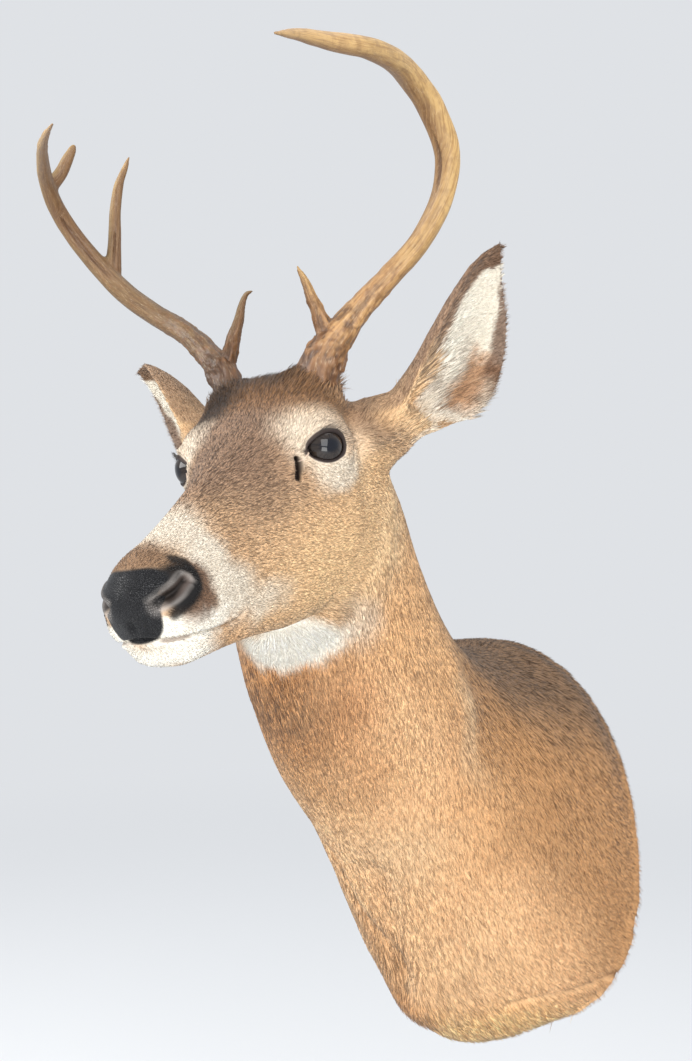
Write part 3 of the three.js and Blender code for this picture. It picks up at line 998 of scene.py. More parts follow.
def ear_colour(colour: Array, survey: Survey, side: Side) -> Array:
    """Lays one ear's colours over those of the head.

    Args:
        colour: The colours under them.
        survey: The places.
        side: Which ear.

    Returns:
        The colours that show.
    """
    local = survey.ears[side]
    on = survey.on_ear[side]
    inside = survey.inside_ear(side)
    wander = sway(survey.places, 0.01, 8, 20.0) + sway(survey.places, 0.004, 9, 10.0)
    along = local[:, 1] + wander
    across = ear_across(local, side) + wander * 0.006
    tip = step(112.0, 166.0, along)
    # The right ear is greyed less than the left, so it is painted lighter: painted light.
    greyed = 0.85 if side is Side.LEFT else 0.55
    fold = np.interp(along, EAR_FOLD_STEPS, EAR_FOLD)
    lining = inside * step(fold - 0.1, fold + 0.1, across)
    back = inside * (1 - lining)
    rusty = step(0.42, 0.7, across) * step(40.0, 66.0, along) * step(110.0, 92.0, along)
    # A dark line down the inside of the ear's cup: painted shadow in its hollow.
    hollow = np.exp(-(((across - 0.95 + along * 0.0065) / 0.1) ** 2))
    hollow = hollow * step(50.0, 66.0, along) * step(102.0, 86.0, along)
    return lay(
        colour,
        (Tone.FACE, on * 0.7),
        (Tone.GREY_BROWN, on * step(20.0, 80.0, along) * greyed),
        (Tone.DARK_EAR, on * (1 - inside) * tip * 0.8),
        (Tone.JAW, back * step(95.0, 50.0, along) * 0.7),
        (Tone.DARK_EAR, back * tip * 0.6),
        (Tone.EAR_LINING, lining),
        (Tone.GREY_BROWN, lining * step(84.0, 60.0, along) * (0.2 + wander * 0.02)),
        (Tone.EAR_EDGE, lining * rusty * 0.85),
        # Painted shadow in the ear's hollow.
        (Tone.DARK_EAR, lining * hollow * 0.25),
        (Tone.EAR_RIM, lining * step(0.9, 0.98, across) * step(62.0, 92.0, along) * 0.85),
        (Tone.JAW, lining * step(44.0, 20.0, along) * 0.6),
        (Tone.CREAM, on * step(0.86, 0.98, across) * step(92.0, 66.0, along) * 0.8),
    )


def ear_across(local: Array, side: Side) -> Array:
    """How far across its ear each place lies, from -1 at the front rim to 1 at the back rim.

    Args:
        local: Places along the ear's axes.
        side: Which ear.

    Returns:
        One share for each place.
    """
    t = np.clip(local[:, 1] / EAR_LENGTH, 0.0, 1.0)
    middle = EAR_BOWS[side] * np.sin(np.pi * t**0.8)
    return (local[:, 0] - middle) / np.interp(t, EAR_STEPS, EAR_HALF_WIDTHS) * side.value


# --- Shaders ---


def math_method(operation: str, swapped: bool = False) -> Callable[[Value, Value | float], Value]:
    """Makes the method that works out a sum or product of two values, or of the second and the first.

    Args:
        operation: The Math node's operation.
        swapped: True where the method's own value comes second.

    Returns:
        The method.
    """

    def method(value: Value, other: Value | float) -> Value:
        """Adds the Math node."""
        pair = (other, value) if swapped else (value, other)
        return value.graph.node("ShaderNodeMath", {"operation": operation}, dict(enumerate(pair)))

    return method


class Value:
    """An output socket whose sums and products add the Math nodes that work them out."""

    def __init__(self, graph: Graph, socket: bpy.types.NodeSocket) -> None:
        """Keeps the socket and the graph it is in."""
        self.graph = graph
        self.socket = socket

    __add__ = math_method("ADD")
    __sub__ = math_method("SUBTRACT")
    __rsub__ = math_method("SUBTRACT", swapped=True)
    __mul__ = math_method("MULTIPLY")
    __truediv__ = math_method("DIVIDE")
    __radd__ = __add__
    __rmul__ = __mul__

    def rise(self, low: float, high: float) -> Value:
        """Rises smoothly from 0 at low to 1 at high."""
        inputs = {"Value": self, "From Min": low, "From Max": high}
        return self.graph.node("ShaderNodeMapRange", {"interpolation_type": "SMOOTHSTEP"}, inputs)


class Graph:
    """One material's nodes.

    Args:
        name: The material's name.
    """

    def __init__(self, name: str) -> None:
        """Starts a material with nothing but its shader and output."""
        self.material = bpy.data.materials.new(name)
        self.material.use_nodes = True
        self.tree = self.material.node_tree
        self.shader = self.tree.nodes["Principled BSDF"]

    def node(
        self, kind: str, settings: dict | None = None, inputs: dict | None = None, output: int | str = 0
    ) -> Value:
        """Adds a node.

        Args:
            kind: The node's type.
            settings: The node's own properties, set first.
            inputs: Values or links by socket name or number.
            output: The output that is wanted.

        Returns:
            That output.
        """
        made = self.tree.nodes.new(kind)
        for key, value in (settings or {}).items():
            setattr(made, key, value)
        for key, value in (inputs or {}).items():
            self._feed(made.inputs[key], value)
        return Value(self, made.outputs[output])

    def _feed(self, socket: bpy.types.NodeSocket, value: Value | float | Sequence[float]) -> None:
        """Links an output to a socket, or sets the socket's own value.

        Args:
            socket: The socket.
            value: The output, or what the socket is set to.
        """
        if isinstance(value, Value):
            self.tree.links.new(value.socket, socket)
        elif hasattr(socket.default_value, "__len__") and len(socket.default_value) == 4:
            socket.default_value = (*tuple(value)[:3], 1.0)
        else:
            socket.default_value = value

    def attribute(self, name: str, output: str = "Color") -> Value:
        """Reads an attribute of the mesh."""
        return self.node("ShaderNodeAttribute", {"attribute_name": name}, output=output)

    def place(self) -> Value:
        """The place in the piece's own coordinates."""
        return self.node("ShaderNodeTexCoord", output="Object")

    def scaled(self, vector: Value, scale: Sequence[float]) -> Value:
        """Multiplies a vector by a scale for each axis."""
        return self.node("ShaderNodeVectorMath", {"operation": "MULTIPLY"}, {0: vector, 1: tuple(scale)})

    def noise(self, vector: Value, scale: float, detail: float) -> Value:
        """Smooth random values over space."""
        inputs = {"Vector": vector, "Scale": scale, "Detail": detail, "Roughness": 0.55}
        return self.node("ShaderNodeTexNoise", None, inputs)

    def cells(self, vector: Value, scale: float) -> Value:
        """Pebble-like cells: the distance to their edges."""
        settings = {"feature": "DISTANCE_TO_EDGE"}
        return self.node("ShaderNodeTexVoronoi", settings, {"Vector": vector, "Scale": scale})

    def mix(self, factor: Value | float, first: Value | Triple, second: Value | Triple) -> Value:
        """Mixes two colours by a factor."""
        settings = {"data_type": "RGBA", "blend_type": "MIX"}
        return self.node("ShaderNodeMix", settings, {0: factor, 6: first, 7: second}, output=2)

    def tinted(self, colour: Value, tint: Triple) -> Value:
        """Multiplies a colour by a tint."""
        settings = {"data_type": "RGBA", "blend_type": "MULTIPLY"}
        return self.node("ShaderNodeMix", settings, {0: 1.0, 6: colour, 7: tint}, output=2)

    def bump(self, height: Value, distance: float, strength: float) -> Value:
        """A normal for a height given as a share of a distance in metres."""
        inputs = {"Height": height, "Distance": distance, "Strength": strength}
        return self.node("ShaderNodeBump", None, inputs)

    def finish(self, **sockets: Value | float | Sequence[float]) -> bpy.types.Material:
        """Feeds the shader's sockets, named with _ for each space, and gives the material.

        Args:
            sockets: What each socket takes.

        Returns:
            The material.
        """
        for name, value in sockets.items():
            self._feed(self.shader.inputs[name.replace("_", " ")], value)
        return self.material


@dataclass(frozen=True)
class HideFinish:
    """Haired hide with its bare, pebbled nose and smooth lids."""

    stroke: float = 1400.0
    pebble: float = 860.0

    def material(self) -> bpy.types.Material:
        """Makes the material.

        Returns:
            The material.
        """
        g = Graph("hide")
        coat = g.attribute("coat_colour")
        bare = g.attribute("bare", "Fac")
        pad = g.attribute("pad", "Fac")
        lie = g.attribute("lie", "Vector")
        strokes = g.noise(lie, self.stroke, 2.0)
        tufts = g.noise(lie, self.stroke * 0.3, 2.0)
        shade = strokes * 0.65 + tufts * 0.35
        pebbles = g.cells(g.place(), self.pebble)
        raised = pebbles.rise(0.02, 0.22)
        # Between the hair strokes the hide is tinted darker: painted shade under the coat.
        haired = g.mix(shade.rise(0.35, 0.68), g.tinted(coat, (0.62, 0.59, 0.56)), coat)
        # Painted shade in the crevices between the nose's pebbles, and a painted sheen on their tops.
        crevice_shade = (1.0 - raised) * pad
        colour = g.mix(bare, haired, coat)
        colour = g.mix(crevice_shade * 0.6, colour, (0.006, 0.006, 0.007))
        sheen = g.mix(raised * pad * 0.12, colour, (0.12, 0.12, 0.13))
        height = shade * (1.0 - bare) + raised * pad * 0.9
        return g.finish(
            Base_Color=sheen,
            Roughness=0.74 - bare * 0.18 - pad * 0.24,
            Specular_IOR_Level=0.22,
            Normal=g.bump(height, 0.7 * MM, 0.8),
        )


@dataclass(frozen=True)
class CoatFinish:
    """Hair: matt, with the colour that each lock carries."""

    fleck: float = 900.0
    rough: float = 0.62

    def material(self) -> bpy.types.Material:
        """Makes the material.

        Returns:
            The material.
        """
        g = Graph("coat_hair")
        coat = g.attribute("coat_colour")
        fleck = g.noise(g.place(), self.fleck, 2.0)
        colour = g.mix(fleck.rise(0.3, 0.7), g.tinted(coat, (0.82, 0.8, 0.78)), coat)
        return g.finish(
            Base_Color=colour,
            Roughness=self.rough - fleck * 0.1,
            Specular_IOR_Level=0.3,
            Sheen_Weight=0.08,
            Sheen_Roughness=0.4,
        )


@dataclass(frozen=True)
class AntlerFinish:
    """Bone-hard antler: stained and pearled at the base, golden along the beam, pale at the tips."""

    def material(self) -> bpy.types.Material:
        """Makes the material.

        Returns:
            The material.
        """
        g = Graph("antler_bone")
        colour = g.attribute("bone_colour")
        grain_way = g.attribute("grain_way", "Vector")
        streak = g.noise(grain_way, 420.0, 4.0)
        fine = g.noise(grain_way, 1500.0, 2.0)
        pits = g.noise(g.place(), 700.0, 3.0)
        stained = g.mix(streak.rise(0.58, 0.36) * 0.62, colour, g.tinted(colour, (0.5, 0.4, 0.32)))
        worn = g.mix(fine.rise(0.55, 0.8) * 0.3, stained, (0.82, 0.68, 0.46))
        return g.finish(
            Base_Color=worn,
            Roughness=0.42 + streak * 0.2,
            Specular_IOR_Level=0.45,
            Coat_Weight=0.08,
            Normal=g.bump(streak * 0.6 + fine * 0.3 + pits * 0.25, 0.7 * MM, 0.7),
        )


@dataclass(frozen=True)
class GlassEyeFinish:
    """A dark brown glass eye with a wide pupil, under clear glass."""

    def material(self) -> bpy.types.Material:
        """Makes the material.

        Returns:
            The material.
        """
        g = Graph("glass_eye")
        pupil = g.attribute("pupil", "Fac")
        iris = g.attribute("iris", "Fac")
        rays = g.noise(g.attribute("rays", "Vector"), 5.0, 2.0)
        brown = g.mix(rays.rise(0.25, 0.75), (0.011, 0.008, 0.007), (0.028, 0.02, 0.016))
        colour = g.mix(iris, (0.006, 0.005, 0.005), brown)
        # The pupil is near black with a faint blue: the blue is a painted reflection.
        colour = g.mix(pupil, colour, (0.003, 0.004, 0.008))
        return g.finish(Base_Color=colour, Roughness=0.05, Specular_IOR_Level=0.42, IOR=1.5)


@dataclass(frozen=True)
class LashFinish:
    """Stiff, dark brown hair."""

    def material(self) -> bpy.types.Material:
        """Makes the material."""
        g = Graph("lash_hair")
        return g.finish(Base_Color=(0.022, 0.015, 0.011), Roughness=0.5)


@dataclass(frozen=True)
class PlywoodFinish:
    """Pale birch plywood: grain on its faces, plies along its edges."""

    ply: float = 1.5 * MM

    def material(self) -> bpy.types.Material:
        """Makes the material.

        Returns:
            The material.
        """
        g = Graph("birch_plywood")
        place = g.place()
        grain_face = g.noise(g.scaled(place, (1.0, 1.0, 0.06)), 260.0, 5.0)
        parts = g.node("ShaderNodeSeparateXYZ", None, {0: place}, "Y")
        plies = g.node("ShaderNodeMath", {"operation": "PINGPONG"}, {0: parts, 1: self.ply})
        layers = (plies / self.ply).rise(0.35, 0.65)
        normal = g.node("ShaderNodeNewGeometry", output="Normal")
        facing = g.node("ShaderNodeSeparateXYZ", None, {0: normal}, "Y")
        flat = (facing * facing).rise(0.5, 0.8)
        face = g.mix(grain_face.rise(0.35, 0.65), (0.46, 0.31, 0.18), (0.62, 0.47, 0.3))
        edge = g.mix(layers, (0.3, 0.18, 0.09), (0.58, 0.42, 0.25))
        return g.finish(
            Base_Color=g.mix(flat, edge, face),
            Roughness=0.62 + grain_face * 0.2,
            Normal=g.bump(grain_face + layers * (1.0 - flat) * 0.5, 0.3 * MM, 0.5),
        )


@dataclass(frozen=True)
class SteelFinish:
    """Zinc-plated steel, brushed and a little dulled."""

    name: str = "zinc_steel"
    colour: Triple = (0.56, 0.57, 0.58)

    def material(self) -> bpy.types.Material:
        """Makes the material.

        Returns:
            The material.
        """
        g = Graph(self.name)
        brushed = g.noise(g.scaled(g.place(), (0.08, 1.0, 1.0)), 1800.0, 3.0)
        stains = g.noise(g.place(), 60.0, 4.0)
        colour = g.mix(stains.rise(0.4, 0.7) * 0.5, self.colour, (0.33, 0.33, 0.34))
        return g.finish(
            Base_Color=colour,
            Metallic=0.9,
            Roughness=0.32 + stains * 0.22 + brushed * 0.08,
            Normal=g.bump(brushed, 0.05 * MM, 0.4),
        )


# --- Mesh helpers ---


def rows(items: Sequence, name: str, width: int, kind: type = np.int32) -> Array:
    """Reads one property of each vertex, edge or triangle as rows of numbers.

    Args:
        items: The vertices, edges or triangles.
        name: The property.
        width: How many numbers each has.
        kind: The numbers' type.

    Returns:
        One row for each item.
    """
    flat = np.empty(len(items) * width, kind)
    items.foreach_get(name, flat)
    return flat.reshape(-1, width)


def places_of(mesh: bpy.types.Mesh) -> Array:
    """A mesh's vertices as rows of three, in metres."""
    return rows(mesh.vertices, "co", 3, np.float32).astype(float)


def normals_of(mesh: bpy.types.Mesh) -> Array:
    """A mesh's vertex normals as rows of three."""
    return rows(mesh.vertex_normals, "vector", 3, np.float32).astype(float)


def edges_of(mesh: bpy.types.Mesh) -> Array:
    """A mesh's edges as pairs of vertex numbers."""
    return rows(mesh.edges, "vertices", 2)


def triangles_of(mesh: bpy.types.Mesh) -> Array:
    """A mesh's triangles as rows of three vertex numbers."""
    mesh.calc_loop_triangles()
    return rows(mesh.loop_triangles, "vertices", 3)


def put_places(mesh: bpy.types.Mesh, places: Array) -> None:
    """Moves a mesh's vertices to the given rows."""
    mesh.vertices.foreach_set("co", places.astype(np.float32).ravel())
    mesh.update()


def relaxed(places: Array, edges: Array, passes: Array, factor: float = 0.5) -> Array:
    """Evens out a surface by moving each vertex towards its neighbours' middle.

    Args:
        places: The vertices.
        edges: Pairs of vertex numbers.
        passes: How many times each vertex is moved.
        factor: How far each move goes.

    Returns:
        The moved vertices.
    """
    count = len(places)
    a, b = edges.T
    share = np.maximum(np.bincount(a, minlength=count) + np.bincount(b, minlength=count), 1)[:, None]
    places = places.copy()
    for turn in range(int(passes.max())):
        total = np.empty_like(places)
        for axis in range(3):
            column = places[:, axis]
            total[:, axis] = np.bincount(a, column[b], count) + np.bincount(b, column[a], count)
        moved = (passes > turn)[:, None]
        places += np.where(moved, (total / share - places) * factor, 0.0)
    return places


def attach(mesh: bpy.types.Mesh, name: str, values: Array) -> None:
    """Stores one value, vector or colour for each vertex.

    Args:
        mesh: The mesh.
        name: The attribute's name.
        values: One number, or three, for each vertex. Names that end in _colour become colours.
    """
    kind, part = "FLOAT_VECTOR", "vector"
    if values.ndim == 1:
        kind, part = "FLOAT", "value"
    elif name.endswith("_colour"):
        kind, part = "FLOAT_COLOR", "color"
        values = np.concatenate([values, np.ones((len(values), 1))], axis=1)
    layer = mesh.attributes.new(name, kind, "POINT")
    layer.data.foreach_set(part, values.astype(np.float32).ravel())


def mesh_of(bm: bmesh.types.BMesh, name: str) -> bpy.types.Mesh:
    """Turns the working mesh into a named one, and frees it.

    Args:
        bm: The working mesh.
        name: The new mesh's name.

    Returns:
        The new mesh.
    """
    mesh = bpy.data.meshes.new(name)
    bm.to_mesh(mesh)
    bm.free()
    return mesh


def join_part(bm: bmesh.types.BMesh, part: bpy.types.Mesh) -> None:
    """Adds a mesh to the working mesh, and removes it."""
    bm.from_mesh(part)
    bpy.data.meshes.remove(part)


def new_object(name: str, data: bpy.types.ID) -> bpy.types.Object:
    """Links a mesh, curve, light or camera to the scene as an object that stands at the origin.

    Args:
        name: The object's name.
        data: What it holds.

    Returns:
        The object.
    """
    piece = bpy.data.objects.new(name, data)
    bpy.context.scene.collection.objects.link(piece)
    return piece


def with_modifier(piece: bpy.types.Object, kind: str, **settings: object) -> None:
    """Gives a piece the shape that one modifier makes of it.

    Args:
        piece: The piece.
        kind: The modifier's type.
        settings: The modifier's own properties.
    """
    modifier = piece.modifiers.new(kind.lower(), kind)
    for key, value in settings.items():
        setattr(modifier, key, value)
    shaped = piece.evaluated_get(bpy.context.evaluated_depsgraph_get())
    mesh = bpy.data.meshes.new_from_object(shaped)
    piece.modifiers.clear()
    old = piece.data
    piece.data = mesh
    bpy.data.meshes.remove(old)


def report(piece: bpy.types.Object) -> None:
    """Logs a piece's name and how many faces it has."""
    LOG.info("%s: %d faces", piece.name, len(piece.data.polygons))


def smooth_shaded(mesh: bpy.types.Mesh) -> None:
    """Shades every face smoothly."""
    mesh.polygons.foreach_set("use_smooth", np.ones(len(mesh.polygons), bool))


def fused(nodes: dict, names: Iterable[str], name: str, bridge: float, voxel: float) -> bpy.types.Object:
    """Fuses some of the frame's nodes into one closed skin.

    Args:
        nodes: The frame's nodes by name.
        names: The nodes to fuse.
        name: The new piece's name.
        bridge: How far each surface is pushed out, which closes the thin cuts between nodes.
        voxel: The size of the skin's faces.

    Returns:
        The new piece.
    """
    bm = bmesh.new()
    for node in names:
        bm.from_mesh(nodes[node].data)
    bmesh.ops.remove_doubles(bm, verts=bm.verts, dist=0.01 * MM)
    for vertex in bm.verts:
        vertex.co += vertex.normal * bridge
    piece = new_object(name, mesh_of(bm, name))
    with_modifier(piece, "REMESH", mode="VOXEL", voxel_size=voxel)
    return piece


def tube(name: str, path: Array, radii: Array, closed: bool, sides: int = 6) -> bpy.types.Mesh:
    """Makes a round rod along a path.

    Args:
        name: The mesh's name.
        path: The points it follows, in metres.
        radii: Its radius at each point.
        closed: True where the rod's end meets its start.
        sides: Half its number of sides.

    Returns:
        The rod's mesh.
    """
    curve = bpy.data.curves.new(name, "CURVE")
    curve.dimensions = "3D"
    curve.bevel_depth = 1.0
    curve.bevel_resolution = sides - 2
    curve.use_fill_caps = not closed
    spline = curve.splines.new("POLY")
    spline.points.add(len(path) - 1)
    for point, place, radius in zip(spline.points, path, radii):
        point.co = (*place, 1.0)
        point.radius = radius
    spline.use_cyclic_u = closed
    holder = new_object(name, curve)
    mesh = bpy.data.meshes.new_from_object(holder.evaluated_get(bpy.context.evaluated_depsgraph_get()))
    bpy.data.objects.remove(holder)
    bpy.data.curves.remove(curve)
    return mesh


# --- The hide ---


@dataclass(frozen=True)
class Form:
    """A rise or hollow pressed into the skin.

    Args:
        where: The region or line that moves.
        rise: How far it moves outwards, in millimetres. A hollow is below 0.
    """

    where: Patch | Line
    rise: float


def form(rise: float, at: Triple, size: Triple, paired: bool = False) -> Form:
    """A rise or hollow over an egg-shaped region."""
    return Form(Patch(at, size, paired=paired), rise)


JOIN_POINTS = ((-70, 62, -24), (-58, 61, -50), (-41, 57, -82), (-22, 46, -107), (-6, 34, -116))
BACK_POINTS = ((-92, 60, -38), (-80, 58, -64), (-62, 54, -94), (-40, 42, -118), (-20, 30, -126))
CHEEK_JOIN = Line(JOIN_POINTS, 13.0, paired=True)
CHEEK_BACK = Line(BACK_POINTS, 20.0, paired=True)
EAR_ROOT = Patch((-98, 104, -20), (36, 34, 28), paired=True)

JOIN_FORMS = (Form(CHEEK_JOIN, 3.0), Form(CHEEK_BACK, 5.0), Form(EAR_ROOT, -7.0))

HEAD_FORMS = (
    form(2.4, (4, 46, 26), (26, 15, 10), True),
    form(-1.8, (26, 0, 40), (26, 18, 18)),
    form(1.6, (4, 58, -26), (34, 14, 9), True),
    form(-2.4, (40, 38, -10), (18, 12, 12), True),
    form(-2.0, (90, 32, -42), (34, 14, 14), True),
    form(0.8, (100, 0, 0), (50, 12, 14)),
    form(3.0, (-24, 58, -66), (30, 16, 28), True),
    form(-2.5, (-42, 60, 12), (14, 14, 12), True),
    form(7.5, (-55, 38, 52), (22, 20, 14), True),
    form(2.2, (168, 24, -64), (18, 9, 7), True),
    form(1.6, (146, 27, -68), (22, 9, 8), True),
    form(2.6, (164, 12, -84), (18, 16, 9), True),
    form(-2.4, (126, 22, -88), (12, 12, 9), True),
    form(2.4, (168, 26, -46), (13, 8, 11), True),
    Form(NOSTRIL_RIM, 1.5),
    Form(NOSTRIL_FLOOR, 0.9),
    Form(NOSTRIL, -6.0),
    Form(Line(MOUTH.points, 5.0, paired=True), 1.0),
    Form(Line(MOUTH.points, 1.5, paired=True), -3.6),
    Form(Line(((189, 0, -58), (189, 0, -69)), 1.8), -1.6),
)

BODY_FORMS = (
    *(Form(Line(line, 24.0), -3.5) for line in CREASES),
    *(Form(Line(line, 15.0), 2.5) for line in STREAKS),
    form(3.5, (150, -110, 60), (60, 60, 80)),
    Form(Line(FLANK_FOLD, 16.0), -7.0),
    Form(Line(tuple((x + 20, y - 2, z - 8) for x, y, z in FLANK_FOLD), 14.0), 3.0),
    Form(Line(BREAST_FOLD, 14.0), -6.0),
    Form(Line(tuple((x + 18, y - 1, z - 5) for x, y, z in BREAST_FOLD), 13.0), 3.0),
    form(5.5, (-4, -150, -160), (44, 44, 26)),
    *(Form(Line(line, 6.0), -3.0) for line in SEAMS),
    form(-5.0, (168, -20, -84), (20, 20, 16)),
)


@dataclass
class Hide:
    """The skin of the shoulders, neck, head and ears in one piece.

    Args:
        bridge: How far the frame's flesh is pushed out to close its cuts, in metres.
        voxel: The size of the fused skin's faces.
        kept: The share of its triangles that the plain trunk keeps.
    """

    bridge: float = 0.6 * MM
    voxel: float = 2.4 * MM
    kept: float = 0.36
    piece: bpy.types.Object = field(init=False)

    BODY_PASSES = 40
    HEAD_PASSES = 14
    CHEEK_PASSES = 70
    EAR_PASSES = 5
    WALL_PASSES = 4
    EAR_ROOT_PASSES = 24
    JOIN_PASSES = 30

    def build(self, nodes: dict) -> bpy.types.Object:
        """Makes the skin.

        Args:
            nodes: The frame's nodes by name.

        Returns:
            The finished piece.
        """
        self.piece = fused(nodes, (*FLESH, "eye_left", "eye_right"), "hide", self.bridge, self.voxel)
        self._relax()
        self._sink()
        self._press(BODY_FORMS, TRUNK)
        self._press(JOIN_FORMS, HEAD)
        self._shape_ears()
        self._settle()
        self._thin()
        self._refine(self._head_details)
        self._refine(self._fine_details)
        self._refine(self._lid_details)
        self._press(HEAD_FORMS, HEAD)
        for side in Side:
            self._open_lids(side)
        self._add_lid_rolls()
        self._paint()
        smooth_shaded(self.piece.data)
        self.piece.data.materials.clear()
        self.piece.data.materials.append(HideFinish().material())
        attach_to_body(self.piece, BODY)
        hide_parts(*FLESH)
        return self.piece

    def survey(self) -> Survey:
        """Measures every vertex of the skin."""
        return Survey(places_of(self.piece.data), normals_of(self.piece.data))

    def _relax(self) -> None:
        """Evens out the frame's flat facets, most on the trunk and least on the ears."""
        mesh = self.piece.data
        seen = self.survey()
        passes = np.where(seen.on_head > 0.5, self.HEAD_PASSES, self.BODY_PASSES)
        passes = np.where(CHEEK_JOIN.gap(seen.head) < 26.0, self.CHEEK_PASSES, passes)
        passes = np.where(seen.off_ears < 0.5, self.EAR_PASSES, passes)
        passes = np.where(seen.trunk[:, 1] > -6.0, self.WALL_PASSES, passes)
        put_places(mesh, relaxed(places_of(mesh), edges_of(mesh), passes))

    def _sink(self) -> None:
        """Draws the skin in by the depth of the coat that grows on it."""
        seen = self.survey()
        depth = (self.bridge / MM) + coat_depth(seen)
        put_places(self.piece.data, seen.places - seen.normals * depth[:, None] * MM)

    def _press(self, forms: Sequence[Form], axes: Axes) -> None:
        """Presses a list of forms into the skin, along its normals.

        Args:
            forms: The rises and hollows.
            axes: The axes that they are given along.
        """
        seen = self.survey()
        local = axes.local(seen.places)
        rise = sum(form.rise * form.where.swell(local) for form in forms)
        put_places(self.piece.data, seen.places + seen.normals * rise[:, None] * MM)

    def _shape_ears(self) -> None:
        """Fills out the rear rims of the ears, and draws their roots in."""
        seen = self.survey()
        places = seen.places
        for side in Side:
            axes = EarAxes(side).axes
            local = axes.local(places)
            along = local[:, 1]
            fuller = 8.0 * step(55.0, 100.0, along) * step(165.0, 130.0, along)
            slimmer = 11.0 * step(-10.0, 15.0, along) * step(62.0, 35.0, along)
            rear = seen.on_ear[side] * step(0.2, 1.0, ear_across(local, side))
            local[:, 0] += side.value * rear * (fuller - slimmer)
            places = axes.world(local)
        put_places(self.piece.data, places)

    def _settle(self) -> None:
        """Smooths the places where the ears and cheeks run into the neck."""
        seen = self.survey()
        root = EAR_ROOT.swell(seen.head) > 0.12
        join = (CHEEK_JOIN.gap(seen.head) < 24.0) & (seen.off_ears > 0.5)
        passes = np.where(root, self.EAR_ROOT_PASSES, np.where(join, self.JOIN_PASSES, 0))
        put_places(self.piece.data, relaxed(seen.places, edges_of(self.piece.data), passes))

    def _thin(self) -> None:
        """Leaves the plain trunk and neck fewer triangles, and the head all of its own."""
        seen = self.survey()
        plain = self.piece.vertex_groups.new(name="plain")
        index = np.nonzero((seen.on_head < 0.05) & (seen.off_ears > 0.95))[0]
        plain.add(index.tolist(), 1.0, "REPLACE")
        with_modifier(self.piece, "DECIMATE", ratio=self.kept, vertex_group="plain", vertex_group_factor=1.0)
        self.piece.vertex_groups.clear()

    def _head_details(self, places: Array) -> Array:
        """True at the places whose faces are halved once: eyes, nose, lips and slits.

        Args:
            places: Points in metres.

        Returns:
            One truth for each place.
        """
        head = HEAD.local(places)
        face = (head[:, 0] > 146.0) | (MOUTH.gap(head) < 7.0)
        return face | (round_eyes(places, lambda local: off_sight(local) < 38.0) > 0)

    def _fine_details(self, places: Array) -> Array:
        """True at the places whose faces are halved again: lids, nostrils, lips and slits.

        Args:
            places: Points in metres.

        Returns:
            One truth for each place.
        """
        head = HEAD.local(places)
        nose = (NOSTRIL.gap(head) < 8.0) | (MOUTH.gap(head) < 3.0)
        return nose | near_eyes(places, lambda local: past_lid(local) < 9.0, 5.0)

    def _lid_details(self, places: Array) -> Array:
        """True at the places whose faces are halved a third time: the lids' edge and the slits."""
        return near_eyes(places, lambda local: np.abs(past_lid(local) - 2.0) < 3.6, 3.2)

    def _refine(self, chosen: Callable[[Array], Array]) -> None:
        """Halves the faces round the chosen places, and rounds the new ones.

        Args:
            chosen: Tells which places, in metres, are refined.
        """
        bm = bmesh.new()
        bm.from_mesh(self.piece.data)
        inside = chosen(places_of(self.piece.data))
        edges = [e for e in bm.edges if inside[e.verts[0].index] and inside[e.verts[1].index]]
        bmesh.ops.subdivide_edges(bm, edges=edges, cuts=1, use_grid_fill=True)
        bmesh.ops.triangulate(bm, faces=bm.faces)
        bm.to_mesh(self.piece.data)
        bm.free()
        places = places_of(self.piece.data)
        passes = np.where(chosen(places), 2, 0)
        put_places(self.piece.data, relaxed(places, edges_of(self.piece.data), passes))

    def _open_lids(self, side: Side) -> None:
        """Lays the lids over one eyeball, opens them, and cuts the tear duct's slit in front of them.

        Args:
            side: Which eye.
        """
        axes = EyeAxes(side).axes
        places = places_of(self.piece.data)
        local = axes.local(places)
        near = (off_sight(local) < EyeSocket.REACH + 6.0) & (local[:, 2] > -12.0)
        own = local[near]
        away = opening(own)
        snap = (np.abs(away - 1.0) < 0.05) & (own[:, 2] > 0.0)
        own[snap, :2] /= away[snap, None]
        own[:, 2] = self._lid_surface(own)
        flat = own * FLAT
        edges = 0.8 * Line(SLIT.points, 4.2).swell(flat)
        own[:, 2] += 0.9 * TEAR_LINE.swell(flat) + edges - 6.0 * SLIT.swell(flat)
        own[:, 2] -= 3.6 * SLIT_MOUTH.swell(flat)
        reach = off_sight(own)
        within = (opening(own) < 0.985) & (own[:, 2] > 0.0)
        floor = np.sqrt(np.maximum((EYE_RADIUS - 3.0) ** 2 - reach**2, 4.0))
        own[within, 2] = np.minimum(own[within, 2] - 2.5, floor[within])
        local[near] = own
        places[near] = axes.world(own)
        put_places(self.piece.data, places)

    def _lid_surface(self, own: Array) -> Array:
        """The height of the lids and of the brow and cheek that they run into, along one eye's sight.

        Args:
            own: Places along one eye's axes, in millimetres.

        Returns:
            One height for each place, in millimetres.
        """
        lids = lid_height(own)
        past = past_lid(own)
        skin = 0.5 * (own[:, 2] + lids + np.sqrt((own[:, 2] - lids) ** 2 + 3.0))
        upper = step(-3.0, 4.0, own[:, 1])
        fold = 1.1 * np.exp(-(((past - 5.6) / 1.9) ** 2)) - 1.0 * np.exp(-(((past - 3.5) / 0.7) ** 2))
        crease = -0.5 * np.exp(-(((past - 3.2) / 0.7) ** 2))
        skin = skin + upper * fold + (1 - upper) * crease
        reach = off_sight(own)
        fade = step(EyeSocket.REACH, EyeSocket.REACH - 12.0, reach)
        return own[:, 2] + (skin - own[:, 2]) * fade

